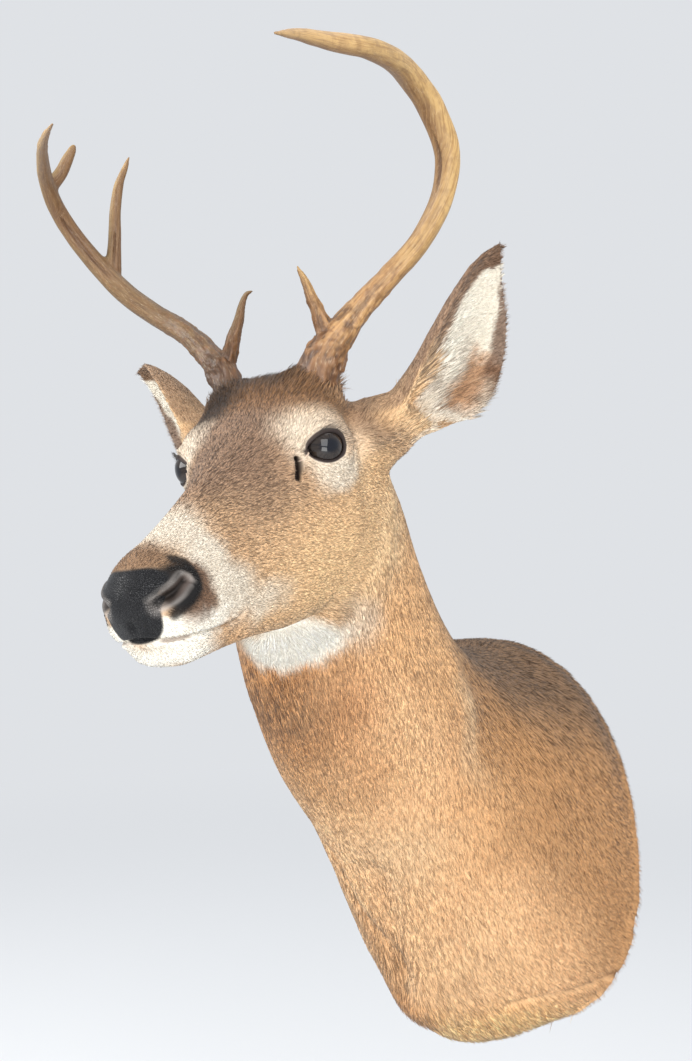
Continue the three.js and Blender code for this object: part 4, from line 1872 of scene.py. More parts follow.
    def _add_lid_rolls(self) -> None:
        """Joins a rounded rim on to the edge of each pair of lids, and a small lump in its front corner."""
        bm = bmesh.new()
        bm.from_mesh(self.piece.data)
        turn = np.linspace(0, 2 * np.pi, 96, endpoint=False)
        rim = np.stack([np.cos(turn), np.sin(turn), np.zeros_like(turn)], axis=1)
        rim[:, :2] /= opening(rim)[:, None]
        rim[:, 2] = lid_height(rim) - 0.55
        radii = (0.72 + 0.3 * step(0.0, 7.0, rim[:, 1])) * MM
        for side in Side:
            axes = EyeAxes(side).axes
            join_part(bm, tube("lid_roll", axes.world(rim), radii, True))
            corner = axes.world(np.array([[14.2, 0.0, 8.6]]))[0]
            bmesh.ops.create_uvsphere(
                bm, u_segments=16, v_segments=10, radius=1.5 * MM, matrix=Matrix.Translation(corner)
            )
        bmesh.ops.triangulate(bm, faces=bm.faces)
        bm.to_mesh(self.piece.data)
        bm.free()

    def _paint(self) -> None:
        """Stores the markings and the bare and pebbled areas for the material."""
        seen = self.survey()
        mesh = self.piece.data
        for name in [a.name for a in mesh.attributes if not a.is_required and not a.is_internal]:
            mesh.attributes.remove(mesh.attributes[name])
        attach(mesh, "coat_colour", markings(seen))
        pad = pad_weight(seen.head)
        smooth = np.maximum(NOSTRIL.weight(seen.head), NOSTRIL_RIM.weight(seen.head))
        attach(mesh, "pad", pad * (1 - smooth))
        attach(mesh, "bare", bareness(seen))
        attach(mesh, "lie", lie_coordinates(seen))


def bareness(seen: Survey) -> Array:
    """How hairless each place is, from 0 to 1.

    Args:
        seen: The places.

    Returns:
        One value for each place.
    """
    nose = (NOSTRIL, NOSTRIL_RIM, NOSTRIL_FLOOR, NOSTRIL_FRONT, NOSE_BARE, MOUTH_FRONT)
    weights = [region.weight(seen.head) for region in nose]
    return np.maximum.reduce([pad_weight(seen.head), lid_weight(seen), *weights, *slit_weights(seen.places)])


def lie_coordinates(seen: Survey) -> Array:
    """Coordinates that run slowly along the lie of the hair and fast across it.

    Args:
        seen: The places.

    Returns:
        Three coordinates for each place.
    """
    slow, length, girth = 0.16, 520.0, 190.0
    head = seen.head * (slow, 1.0, 1.0)
    along = seen.way * length * slow
    body = np.stack([seen.round_[:, 0] * girth, seen.round_[:, 1] * girth, along], axis=1)
    return np.where((seen.on_head > 0.5)[:, None], head, body) * MM


def coat_depth(seen: Survey) -> Array:
    """How deep the coat lies over the skin, in millimetres.

    Args:
        seen: The places.

    Returns:
        One depth for each place.
    """
    depth = 0.9 + 1.3 * (1 - seen.on_head) + 0.6 * seen.on_trunk
    depth = depth + 1.0 * Patch((4, 0, -128), (44, 56, 34)).weight(seen.head)
    depth = depth * (1 - 0.8 * step(150.0, 172.0, seen.head[:, 0]))
    depth = np.where(seen.off_ears < 0.5, 0.7, depth)
    wall = step(-14.0, -3.0, seen.trunk[:, 1])
    return depth * (1 - 0.85 * wall)


# --- The coat ---


class Lock(Enum):
    """The shapes of one lock of hair."""

    SPIKE = "a three-cornered root and a tip"
    BLADE = "a curved, three-sided blade"


class Zone(Enum):
    """The parts of the body that the coat is divided into."""

    FACE_LEFT, FACE_RIGHT, CROWN, THROAT, EAR_LEFT, EAR_RIGHT = range(6)
    NECK_LEFT, NECK_RIGHT, NECK_MIDDLE = range(6, 9)
    SHOULDER_LEFT, SHOULDER_RIGHT, BRISKET, WITHERS = range(9, 13)


@dataclass(frozen=True)
class Growth:
    """One piece of the coat.

    Args:
        zone: The part of the body that it covers.
        count: How many locks it has.
        lock: The shape of its locks.
        finer: A factor on the width of its locks.
    """

    zone: Zone
    count: int
    lock: Lock = Lock.SPIKE
    finer: float = 1.0

    @property
    def name(self) -> str:
        """The piece's name."""
        return f"coat_{self.zone.name.lower()}"


def haired(seen: Survey) -> Array:
    """1 where hair grows: not on bare skin, nor on the face that lies on the wall.

    Args:
        seen: The places.

    Returns:
        One value for each place.
    """
    wall = (seen.trunk[:, 1] > -2.5) & (seen.normals[:, 1] > 0.6)
    under = round_eyes(seen.places, lambda local: step(2.4, 1.6, past_lid(local)) * (local[:, 2] > -6.0))
    bare = step(0.75, 0.3, bareness(seen)) * (MOUTH.gap(seen.head) > 1.2)
    return bare * (1 - under) * ~wall


BODY_HAIR = 8.6
FACE_HAIR = 5.4
EAR_HAIR = 4.8
BEAM_HAIR = 19.0
LONG_HAIR = (6.6, 8.6)
BIB = Patch((0, 0, -126), (60, 52, 24), 0.4)
LOOSE_TUFTS = (
    Patch((26, -402, 166), (40, 30, 30), 0.6),
    Patch((-40, -208, -62), (24, 26, 40), 0.7),
    Patch((-10, -180, -112), (24, 22, 24), 0.7),
)


def hair_length(seen: Survey) -> Array:
    """The length of the coat at each place, in millimetres.

    Args:
        seen: The places.

    Returns:
        One length for each place.
    """
    head = seen.head
    length = BODY_HAIR - 1.6 * step(0.7, 1.0, seen.way) + 0.6 * seen.on_trunk
    length = length + 3.0 * step(0.55, 0.95, seen.round_[:, 0]) * step(0.5, 0.25, seen.way)
    length = length + 9.0 * Patch((0, -100, -190), (170, 130, 34), 0.5).weight(seen.trunk)
    for tuft in LOOSE_TUFTS:
        length = length + 6.0 * tuft.weight(seen.trunk)
    face = FACE_HAIR - 2.2 * step(85.0, 150.0, head[:, 0]) + 1.2 * step(10.0, -70.0, head[:, 0])
    face = face - 1.2 * Patch((6, 58, 2), (34, 24, 26), 0.4, True).weight(head)
    face = face - 1.2 * NOSE_WING.weight(head)
    face = face + 12.0 * Patch((-48, 0, 54), (36, 48, 24), 0.6).weight(head)
    face = face + 5.0 * BIB.weight(head)
    length = length * (1 - seen.on_head) + face * seen.on_head
    for side in Side:
        along = seen.ears[side][:, 1]
        deep = step(10.0, 50.0, along) * step(150.0, 90.0, along)
        across = ear_across(seen.ears[side], side)
        lining = 5.0 + 8.0 * step(95.0, 65.0, along)
        ear = EAR_HAIR + seen.inside_ear(side) * lining * deep * step(0.85, 0.45, np.abs(across))
        ear = ear + 8.0 * step(0.75, 0.95, across) * step(100.0, 60.0, along)
        length = length * (1 - seen.on_ear[side]) + ear * seen.on_ear[side]
        near = beam_root(seen.head, side)[0]
        length = length * (1 - near) + BEAM_HAIR * near
    return length


def hair_stand(seen: Survey) -> Array:
    """How much more than elsewhere the hair stands out at each place: most round the antlers' roots.

    Args:
        seen: The places.

    Returns:
        One factor for each place.
    """
    stand = np.ones(len(seen.places))
    for side in Side:
        stand = stand + 4.6 * beam_root(seen.head, side)[0] + 0.9 * seen.inside_ear(side)
    for tuft in LOOSE_TUFTS:
        stand = stand + 0.8 * tuft.weight(seen.trunk)
    return stand + 0.5 * BIB.weight(seen.head)


def zone_shares(seen: Survey) -> dict[Zone, Array]:
    """How thickly each zone's hair grows at each place, from 0 to 1.

    Args:
        seen: The places.

    Returns:
        One value for each place, by zone.
    """
    under, left = seen.round_[:, 0], seen.round_[:, 1]
    body = (1 - seen.on_head) * seen.off_ears
    neck, trunk = body * (1 - seen.on_trunk), body * seen.on_trunk
    head = seen.on_head * seen.off_ears
    long_haired = step(*LONG_HAIR, hair_length(seen))
    crown = long_haired * (seen.head[:, 2] > -20.0)
    throat = long_haired * (seen.head[:, 2] <= -20.0)
    face = head * (1 - crown) * (1 - throat)
    middle = (np.abs(left) <= 0.25) | (under >= 0.8)
    inner = {side: 1.0 - 0.35 * seen.inside_ear(side) for side in Side}
    shares = {
        Zone.FACE_LEFT: face * (seen.head[:, 1] > 0),
        Zone.FACE_RIGHT: face * (seen.head[:, 1] <= 0),
        Zone.CROWN: head * crown,
        Zone.THROAT: head * throat,
        Zone.EAR_LEFT: seen.on_ear[Side.LEFT] * inner[Side.LEFT],
        Zone.EAR_RIGHT: seen.on_ear[Side.RIGHT] * inner[Side.RIGHT],
        Zone.NECK_LEFT: neck * ~middle * (left > 0),
        Zone.NECK_RIGHT: neck * ~middle * (left <= 0),
        Zone.NECK_MIDDLE: neck * middle,
        Zone.SHOULDER_LEFT: trunk * (under < 0.7) * (left > 0.3),
        Zone.SHOULDER_RIGHT: trunk * (under < 0.7) * (left < -0.3),
        Zone.BRISKET: trunk * (under >= 0.7),
        Zone.WITHERS: trunk * (under < 0.7) * (np.abs(left) <= 0.3),
    }
    grows = haired(seen)
    return {zone: share * grows for zone, share in shares.items()}


GROWTHS = (
    Growth(Zone.FACE_LEFT, 44000),
    Growth(Zone.FACE_RIGHT, 42000),
    Growth(Zone.CROWN, 7500, Lock.BLADE, finer=0.8),
    Growth(Zone.THROAT, 9000, Lock.BLADE, finer=0.7),
    Growth(Zone.EAR_LEFT, 20000),
    Growth(Zone.EAR_RIGHT, 20000),
    Growth(Zone.NECK_LEFT, 38000),
    Growth(Zone.NECK_RIGHT, 34000),
    Growth(Zone.NECK_MIDDLE, 32000),
    Growth(Zone.SHOULDER_LEFT, 34000),
    Growth(Zone.SHOULDER_RIGHT, 30000),
    Growth(Zone.BRISKET, 30000),
    Growth(Zone.WITHERS, 13000),
)


@dataclass
class Coat:
    """The locks of hair over the hide.

    Args:
        hide: The skin that they grow on.
        seed: Starts the random draws.
        stray: How far single locks turn from the lie, in radians.
        clump: How far patches of locks turn from it together.
        dark: The share of locks that are darker than the marking, where the coat is grizzled.
        patch: Half the width of a lock's patch on the map.
    """

    hide: bpy.types.Object
    seed: int = SEED
    stray: float = 0.13
    clump: float = 0.24
    dark: float = 0.36
    patch: float = 0.0015
    places: Array = field(init=False)
    normals: Array = field(init=False)
    triangles: Array = field(init=False)
    shares: dict[Zone, Array] = field(init=False)

    def __post_init__(self) -> None:
        """Reads the hide's surface."""
        mesh = self.hide.data
        self.places = places_of(mesh)
        self.normals = normals_of(mesh)
        self.triangles = triangles_of(mesh)
        a, b, c = (self.places[self.triangles[:, i]] for i in range(3))
        cross = np.cross(b - a, c - a)
        areas = np.linalg.norm(cross, axis=1) / 2
        grows = zone_shares(Survey((a + b + c) / 3, unit(cross)))
        self.shares = {zone: np.cumsum(areas * share) for zone, share in grows.items()}

    def build(self) -> None:
        """Grows every piece of the coat."""
        material = CoatFinish().material()
        for number, growth in enumerate(GROWTHS):
            draw = np.random.default_rng(self.seed + number)
            piece = self._grow(growth, draw)
            piece.data.materials.append(material)
            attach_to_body(piece, BODY)
            report(piece)

    def _roots(self, growth: Growth, draw: np.random.Generator) -> Survey:
        """Scatters the roots of one piece evenly over its part of the skin.

        Args:
            growth: The piece.
            draw: Its random draws.

        Returns:
            What is known about the roots.
        """
        share = self.shares[growth.zone]
        picks = (np.arange(growth.count) + draw.random(growth.count)) / growth.count * share[-1]
        corners = self.triangles[np.minimum(np.searchsorted(share, picks), len(share) - 1)]
        r = np.sqrt(draw.random(growth.count))
        t = draw.random(growth.count)
        weights = np.stack([1 - r, r * (1 - t), r * t], axis=1)[:, :, None]
        places = (self.places[corners] * weights).sum(1)
        normals = unit((self.normals[corners] * weights).sum(1))
        return Survey(places, normals)

    def _grow(self, growth: Growth, draw: np.random.Generator) -> bpy.types.Object:
        """Makes one piece of the coat.

        Args:
            growth: Where and how it grows.
            draw: Its random draws.

        Returns:
            The piece.
        """
        seen = self._roots(growth, draw)
        count = growth.count
        flow = seen.lie()
        aside = np.cross(seen.normals, flow)
        clumps = grain(seen.places, 0.025, 30) + grain(seen.places, 0.007, 31) * 0.6 - 0.8
        turn = draw.normal(0.0, self.stray, count) + clumps * self.clump * (0.35 + 0.65 * seen.on_head)
        flow = flow * np.cos(turn)[:, None] + aside * np.sin(turn)[:, None]
        aside = np.cross(seen.normals, flow)
        length = hair_length(seen) * draw.uniform(0.7, 1.25, count) * MM
        length = self._trimmed(seen.places, flow, length)
        width = (0.24 + 0.026 * length / MM) * growth.finer * draw.uniform(0.7, 1.3, count) * MM
        rise = (0.2 + 0.09 * length / MM) * hair_stand(seen) * draw.uniform(0.4, 1.3, count) * MM
        shades = self._shades(seen, draw)
        shape = self._spikes if growth.lock is Lock.SPIKE else self._blades
        points, faces, tone = shape(seen, flow, aside, (length, width, rise))
        mesh = bpy.data.meshes.new(growth.name)
        corners = points.shape[1]
        every = (faces[None] + (np.arange(count) * corners)[:, None, None]).reshape(-1, 3)
        fill_mesh(mesh, points.reshape(-1, 3), every)
        colours = shades[:, None, :] * tone[None, :, None]
        attach(mesh, "coat_colour", np.clip(colours, 0.0, 1.0).reshape(-1, 3))
        self._bake_map(mesh, seen, every, corners, draw)
        smooth_shaded(mesh)
        return new_object(growth.name, mesh)

    def _trimmed(self, places: Array, flow: Array, length: Array) -> Array:
        """Shortens the locks that would lie over an eye, a slit or the nose, or reach into the wall.

        Args:
            places: Their roots.
            flow: The way that each lock points.
            length: Its length, in metres.

        Returns:
            The new lengths.
        """
        for share in (1.0, 0.7, 0.4):
            tips = places + flow * (length * share)[:, None]
            head = HEAD.local(tips)
            nose = (pad_weight(head), NOSE_BARE.weight(head), NOSTRIL_RIM.weight(head))
            lids = round_eyes(tips, lambda local: step(1.9, 1.3, past_lid(local)))
            bare = np.maximum.reduce([*nose, lids, *slit_weights(tips)])
            length = np.where(bare > 0.4, length * max(share - 0.35, 0.2), length)
        room = (1.0 * MM - places[:, 1]) / np.maximum(flow[:, 1], 1e-3)
        return np.minimum(length, np.maximum(room, 1.5 * MM))

    def _shades(self, seen: Survey, draw: np.random.Generator) -> Array:
        """The colour of each lock: the marking at its root, lighter or darker at random.

        Args:
            seen: The roots.
            draw: The piece's random draws.

        Returns:
            One colour for each lock.
        """
        colour = markings(seen)
        count = len(colour)
        grizzled = grizzle(seen, colour)
        dark = draw.random(count) < self.dark
        light = np.where(dark, 1.0 - 0.66 * grizzled, 1.0 + 0.42 * grizzled)
        light = light * (1.0 + draw.normal(0.0, 0.07, count))
        patchy = 0.95 + 0.1 * grain(seen.places, 0.02, 12)
        warm = np.where(dark[:, None], 1.0 + grizzled[:, None] * np.array([0.1, -0.04, -0.16]), 1.0)
        return colour * warm * np.clip(light * patchy, 0.3, 1.5)[:, None]

    def _spikes(self, seen: Survey, flow: Array, aside: Array, sizes: tuple[Array, ...]) -> tuple:
        """Short four-sided locks: a three-cornered root and a tip.

        Args:
            seen: Their roots.
            flow: The way that each lock points.
            aside: The way across it.
            sizes: Its length, its width, and how far its tip stands off the skin.

        Returns:
            The corners of each lock, the faces of one, and how light each corner is.
        """
        length, width, rise = sizes
        half = aside * (width / 2)[:, None]
        under = seen.places - seen.normals * 0.25 * MM
        high = rise * 0.55 + 0.12 * MM
        ridge = seen.places + seen.normals * high[:, None] + flow * (length * 0.25)[:, None]
        tip = seen.places + flow * length[:, None] + seen.normals * (rise * 0.75)[:, None]
        points = np.stack([under - half, under + half, ridge, tip], axis=1)
        faces = np.array([(0, 2, 1), (0, 3, 2), (2, 3, 1), (0, 1, 3)])
        return points, faces, np.array([0.86, 0.86, 1.0, 1.02])

    def _blades(self, seen: Survey, flow: Array, aside: Array, sizes: tuple[Array, ...]) -> tuple:
        """Curved locks with a ridge: three corners at the root, three at the middle, and a tip.

        Args:
            seen: Their roots.
            flow: The way that each lock points.
            aside: The way across it.
            sizes: Its length, its width, and how far its tip stands off the skin.

        Returns:
            The corners of each lock, the faces of one, and how light each corner is.
        """
        length, width, rise = sizes
        half = aside * (width / 2)[:, None]
        root = seen.places - seen.normals * 0.6 * MM
        droop = np.array([0.0, 0.0, -1.0]) * (np.maximum(length - 16 * MM, 0.0) * 0.25)[:, None]
        middle = seen.places + flow * (length * 0.5)[:, None] + seen.normals * (rise * 0.62)[:, None]
        middle = middle + droop * 0.25
        tip = seen.places + flow * length[:, None] + seen.normals * (rise * 0.8)[:, None] + droop
        thick = seen.normals * (width * 0.4)[:, None]
        base = (root - half * 0.7, root + half * 0.7, root + thick)
        points = np.stack([*base, middle - half, middle + half, middle + thick, tip], axis=1)
        faces = [(0, 2, 1)]
        for a, b in ((0, 1), (1, 2), (2, 0)):
            faces += [(a, b, b + 3), (a, b + 3, a + 3), (a + 3, b + 3, 6)]
        return points, np.array(faces), np.array([0.86, 0.86, 0.9, 0.97, 0.97, 1.02, 1.05])

    def _bake_map(
        self, mesh: bpy.types.Mesh, seen: Survey, faces: Array, corners: int, draw: np.random.Generator
    ) -> None:
        """Gives each lock a small patch of the map at its root's place on an unwrap of the skin.

        Args:
            mesh: The piece's mesh.
            seen: The roots of its locks.
            faces: Its triangles.
            corners: How many corners each lock has.
            draw: The piece's random draws.
        """
        unwrap = root_unwrap(seen)
        low, high = unwrap.min(0), unwrap.max(0)
        unwrap = 0.01 + 0.98 * (unwrap - low) / np.maximum(high - low, 1e-6)
        spot = draw.uniform(-1.0, 1.0, (corners, 2)) * self.patch
        flat = (unwrap[:, None, :] + spot[None]).reshape(-1, 2)
        layer = mesh.uv_layers.new(name="OFBake")
        layer.data.foreach_set("uv", flat[faces.ravel()].astype(np.float32).ravel())


def grizzle(seen: Survey, colour: Array) -> Array:
    """How much dark and pale hairs are mixed at each place, from 0 to 1: most on the brow and bridge.

    Args:
        seen: The places.
        colour: The marking at each.

    Returns:
        One value for each place.
    """
    face = Patch((50, 0, 10), (130, 60, 50), 0.5).weight(seen.head) * seen.on_head
    mixed = 0.62 + 0.38 * face + 0.3 * step(0.36, 0.2, colour.mean(1)) * (1 - seen.on_head)
    return mixed * step(0.9, 0.45, colour.mean(1)) + 0.08


def root_unwrap(seen: Survey) -> Array:
    """Unrolls the skin round its middle line: the way round and the way along.

    Args:
        seen: The roots.

    Returns:
        One place on the map for each root.
    """
    turn = np.arctan2(seen.round_[:, 1], -seen.round_[:, 0]) / math.tau
    body = np.stack([turn, seen.way], axis=1)
    head_turn = np.arctan2(seen.head[:, 1], seen.head[:, 2] + 30.0) / math.tau
    face = np.stack([head_turn, 1.0 + seen.head[:, 0] / 400.0], axis=1)
    result = np.where((seen.on_head > 0.5)[:, None], face, body)
    for side in Side:
        inner = seen.inside_ear(side) > 0.5
        flat = seen.ears[side][:, :2] / 400.0 + np.where(inner, 0.5, 0.0)[:, None] * (1.0, 0.0)
        result = np.where((seen.on_ear[side] > 0.5)[:, None], flat, result)
    return result


def fill_mesh(mesh: bpy.types.Mesh, points: Array, faces: Array) -> None:
    """Fills an empty mesh with triangles.

    Args:
        mesh: The mesh.
        points: Its vertices.
        faces: Rows of three vertex numbers.
    """
    mesh.vertices.add(len(points))
    mesh.vertices.foreach_set("co", points.astype(np.float32).ravel())
    mesh.loops.add(faces.size)
    mesh.loops.foreach_set("vertex_index", faces.astype(np.int32).ravel())
    mesh.polygons.add(len(faces))
    mesh.polygons.foreach_set("loop_start", (np.arange(len(faces)) * 3).astype(np.int32))
    mesh.update(calc_edges=True)
    mesh.validate()


# --- Eyes ---


@dataclass
class Eye:
    """One glass eye.

    Args:
        side: Which eye.
        bulge: How far its clear front stands out of the ball, in millimetres.
    """

    side: Side
    bulge: float = 0.9

    def build(self) -> bpy.types.Object:
        """Makes the eye.

        Returns:
            The finished piece.
        """
        bm = bmesh.new()
        bmesh.ops.create_uvsphere(bm, u_segments=64, v_segments=40, radius=EYE_RADIUS - 0.3)
        mesh = mesh_of(bm, f"glass_eye_{self.side.label}")
        axes = EyeAxes(self.side).axes
        local = places_of(mesh)
        reach = off_sight(local)
        front = local[:, 2] > 0
        swell = np.where(front, step(14.0, 4.0, reach), 0.0)
        local[:, 2] += self.bulge * swell
        put_places(mesh, axes.world(local))
        wide = np.sqrt((local[:, 0] / 7.0) ** 2 + (local[:, 1] / 4.6) ** 2)
        attach(mesh, "pupil", np.where(front, step(1.35, 0.75, wide), 0.0))
        attach(mesh, "iris", np.where(front, step(13.5, 12.0, reach), 0.0))
        angle = np.arctan2(local[:, 1], local[:, 0])
        attach(mesh, "rays", np.stack([np.cos(angle), np.sin(angle), reach / 60.0], axis=1))
        smooth_shaded(mesh)
        piece = new_object(mesh.name, mesh)
        if axes.turn[2] @ np.cross(*axes.turn[:2]) < 0:
            mesh.flip_normals()
        mesh.materials.append(GlassEyeFinish().material())
        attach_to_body(piece, BODY)
        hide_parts(f"eye_{self.side.label}")
        return piece


@dataclass
class Lashes:
    """The dark lashes along one eye's upper lid, swept back.

    Args:
        side: Which eye.
        count: How many lashes there are.
        length: The longest lash, in millimetres.
        root: The radius of a lash at its root, in millimetres.
        points: How many points each lash is drawn through.
    """

    side: Side
    count: int = 26
    length: float = 8.5
    root: float = 0.22
    points: int = 6

    def build(self) -> bpy.types.Object:
        """Makes the lashes.

        Returns:
            The finished piece.
        """
        axes = EyeAxes(self.side).axes
        draw = np.random.default_rng(SEED + 70 + self.side.value)
        bm = bmesh.new()
        taper = self.root * np.linspace(1.0, 0.15, self.points) * MM
        for turn in np.radians(np.linspace(58.0, 190.0, self.count)) + draw.normal(0.0, 0.02, self.count):
            join_part(bm, tube("lash", axes.world(self._path(turn, draw)), taper, False, 3))
        mesh = mesh_of(bm, f"lashes_{self.side.label}")
        smooth_shaded(mesh)
        piece = new_object(mesh.name, mesh)
        mesh.materials.append(LashFinish().material())
        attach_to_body(piece, BODY)
        return piece

    def _path(self, turn: float, draw: np.random.Generator) -> Array:
        """One lash's points along the eye's axes: out from the lid, then back and down.

        Args:
            turn: Where on the lids' edge its root is, in radians.
            draw: The random draws.

        Returns:
            The points, from root to tip.
        """
        rim = np.array([[math.cos(turn), math.sin(turn), 0.0]])
        rim[:, :2] *= 1.06 / opening(rim)
        rim[:, 2] = lid_height(rim) - 0.2
        share = np.linspace(0.0, 1.0, self.points)[:, None]
        long = self.length * (0.75 + 0.25 * math.sin(turn)) * draw.uniform(0.75, 1.1)
        out = np.array([math.cos(turn) * 0.6 - 0.55, math.sin(turn) * 0.75, 0.5])
        bend = np.array([-0.4, -0.2, -0.3])
        return rim + long * (out * share + bend * share**2)


# --- Antlers ---


@dataclass(frozen=True)
class Rod:
    """A length of antler.

    Args:
        points: Its middle line, in millimetres along the head's axes.
        radii: Its radii, in millimetres, by share of its length.
        start: How far along the beam's run of colour, and of the right antler's painted shade, its root is,
            from 0 to 1.
        end: The same for its tip.
    """

    points: tuple[Triple, ...]
    radii: tuple[tuple[float, float], ...]
    start: float = 0.0
    end: float = 1.0

    def radius(self, way: Array) -> Array:
        """Its radius at each share of its length, in millimetres.

        Args:
            way: Shares of its length, from 0 to 1.

        Returns:
            One radius for each share.
        """
        shares, radii = np.array(self.radii).T
        fine = np.linspace(0.0, 1.0, 201)
        smooth = np.convolve(np.pad(np.interp(fine, shares, radii), 4, "edge"), np.ones(9) / 9, "valid")
        return np.interp(way, fine, smooth)


LEFT_BEAM = (
    *((-49, 34, 38), (-53, 42, 55), (-60, 56, 73), (-75, 75, 93), (-85, 101, 113)),
    *((-91, 127, 133), (-92, 149, 161), (-88, 157, 188), (-72, 153, 216), (-46, 147, 231)),
    *((-8, 144, 232.5), (23, 138, 231), (53, 127, 229), (86, 120, 225), (124, 119, 215)),
)
RIGHT_BEAM = (
    *((-50, -33, 42), (-57, -39, 62), (-68, -55, 84), (-83, -80, 107), (-88, -106, 127)),
    *((-87, -128, 149), (-83, -144, 174), (-76, -155, 199), (-63, -157, 221), (-42, -146, 237)),
    *((6, -110, 241), (52, -73, 233), (100, -33, 220)),
)
LEFT_RADII = ((0, 17), (0.04, 17), (0.1, 12.8), (0.17, 9.9), (0.24, 8.6), (0.32, 8.4), (0.4, 8.8))
LEFT_END = (
    *((0.46, 9.6), (0.53, 9.6), (0.6, 8.7), (0.68, 7.4)),
    *((0.76, 6.3), (0.84, 5.1), (0.91, 3.6), (1, 1.2)),
)
RIGHT_RADII = ((0, 13.5), (0.05, 12.3), (0.11, 10.6), (0.2, 9.4), (0.27, 9.2), (0.34, 9.4), (0.41, 8.7))
RIGHT_END = ((0.47, 7.8), (0.52, 7.4), (0.59, 6.2), (0.72, 4.5), (1, 1.2))

LEFT_BROW = ((-61, 51, 76), (-56, 49, 94), (-50, 48, 107), (-45, 47, 120), (-41, 45, 130))
RIGHT_BROW = (
    *((-64, -36, 76), (-61, -27, 91), (-58, -17, 104)),
    *((-56, -11, 114), (-55, -5, 121), (-54, 2, 122)),
)
MIDDLE_TINE = (
    *((-90, -137, 168), (-94, -130, 196), (-95, -124, 217)),
    *((-95, -115, 235), (-96, -105, 248), (-96, -100, 254)),
)
END_TINE = ((-49, -149, 236), (-57, -142, 245), (-60, -135, 254), (-61, -129, 260), (-62, -126, 264))

ANTLERS = {
    Side.LEFT: (
        Rod(LEFT_BEAM, LEFT_RADII + LEFT_END),
        Rod(LEFT_BROW, ((0, 8.5), (0.32, 6), (0.57, 4.5), (0.82, 3.2), (1, 1.2)), 0.05, 0.3),
    ),
    Side.RIGHT: (
        Rod(RIGHT_BEAM, RIGHT_RADII + RIGHT_END),
        Rod(RIGHT_BROW, ((0, 7), (0.25, 5.8), (0.54, 4.2), (0.74, 3.2), (0.92, 2.2), (1, 1.2)), 0.05, 0.42),
        Rod(MIDDLE_TINE, ((0, 7.5), (0.26, 5.8), (0.49, 5.2), (0.72, 4.3), (0.91, 2.8), (1, 1.2)), 0.3, 0.9),
        Rod(END_TINE, ((0, 6.2), (0.35, 5.4), (0.67, 4.6), (0.9, 3.4), (1, 1.8)), 0.45, 0.75),
    ),
}

# How light each antler is painted: the right one is painted darker towards its base, as shade.
ANTLER_SHADE = {Side.LEFT: 1.0, Side.RIGHT: 0.36}
# The way each antler's inner side faces; that side is painted darker, as shade.
INNER = {Side.LEFT: (0.1, -0.86, -0.5), Side.RIGHT: (0.1, 0.7, -0.7)}
CHANNEL = ((0.82, -0.57, -0.04), (0.79, -0.42, -0.44))


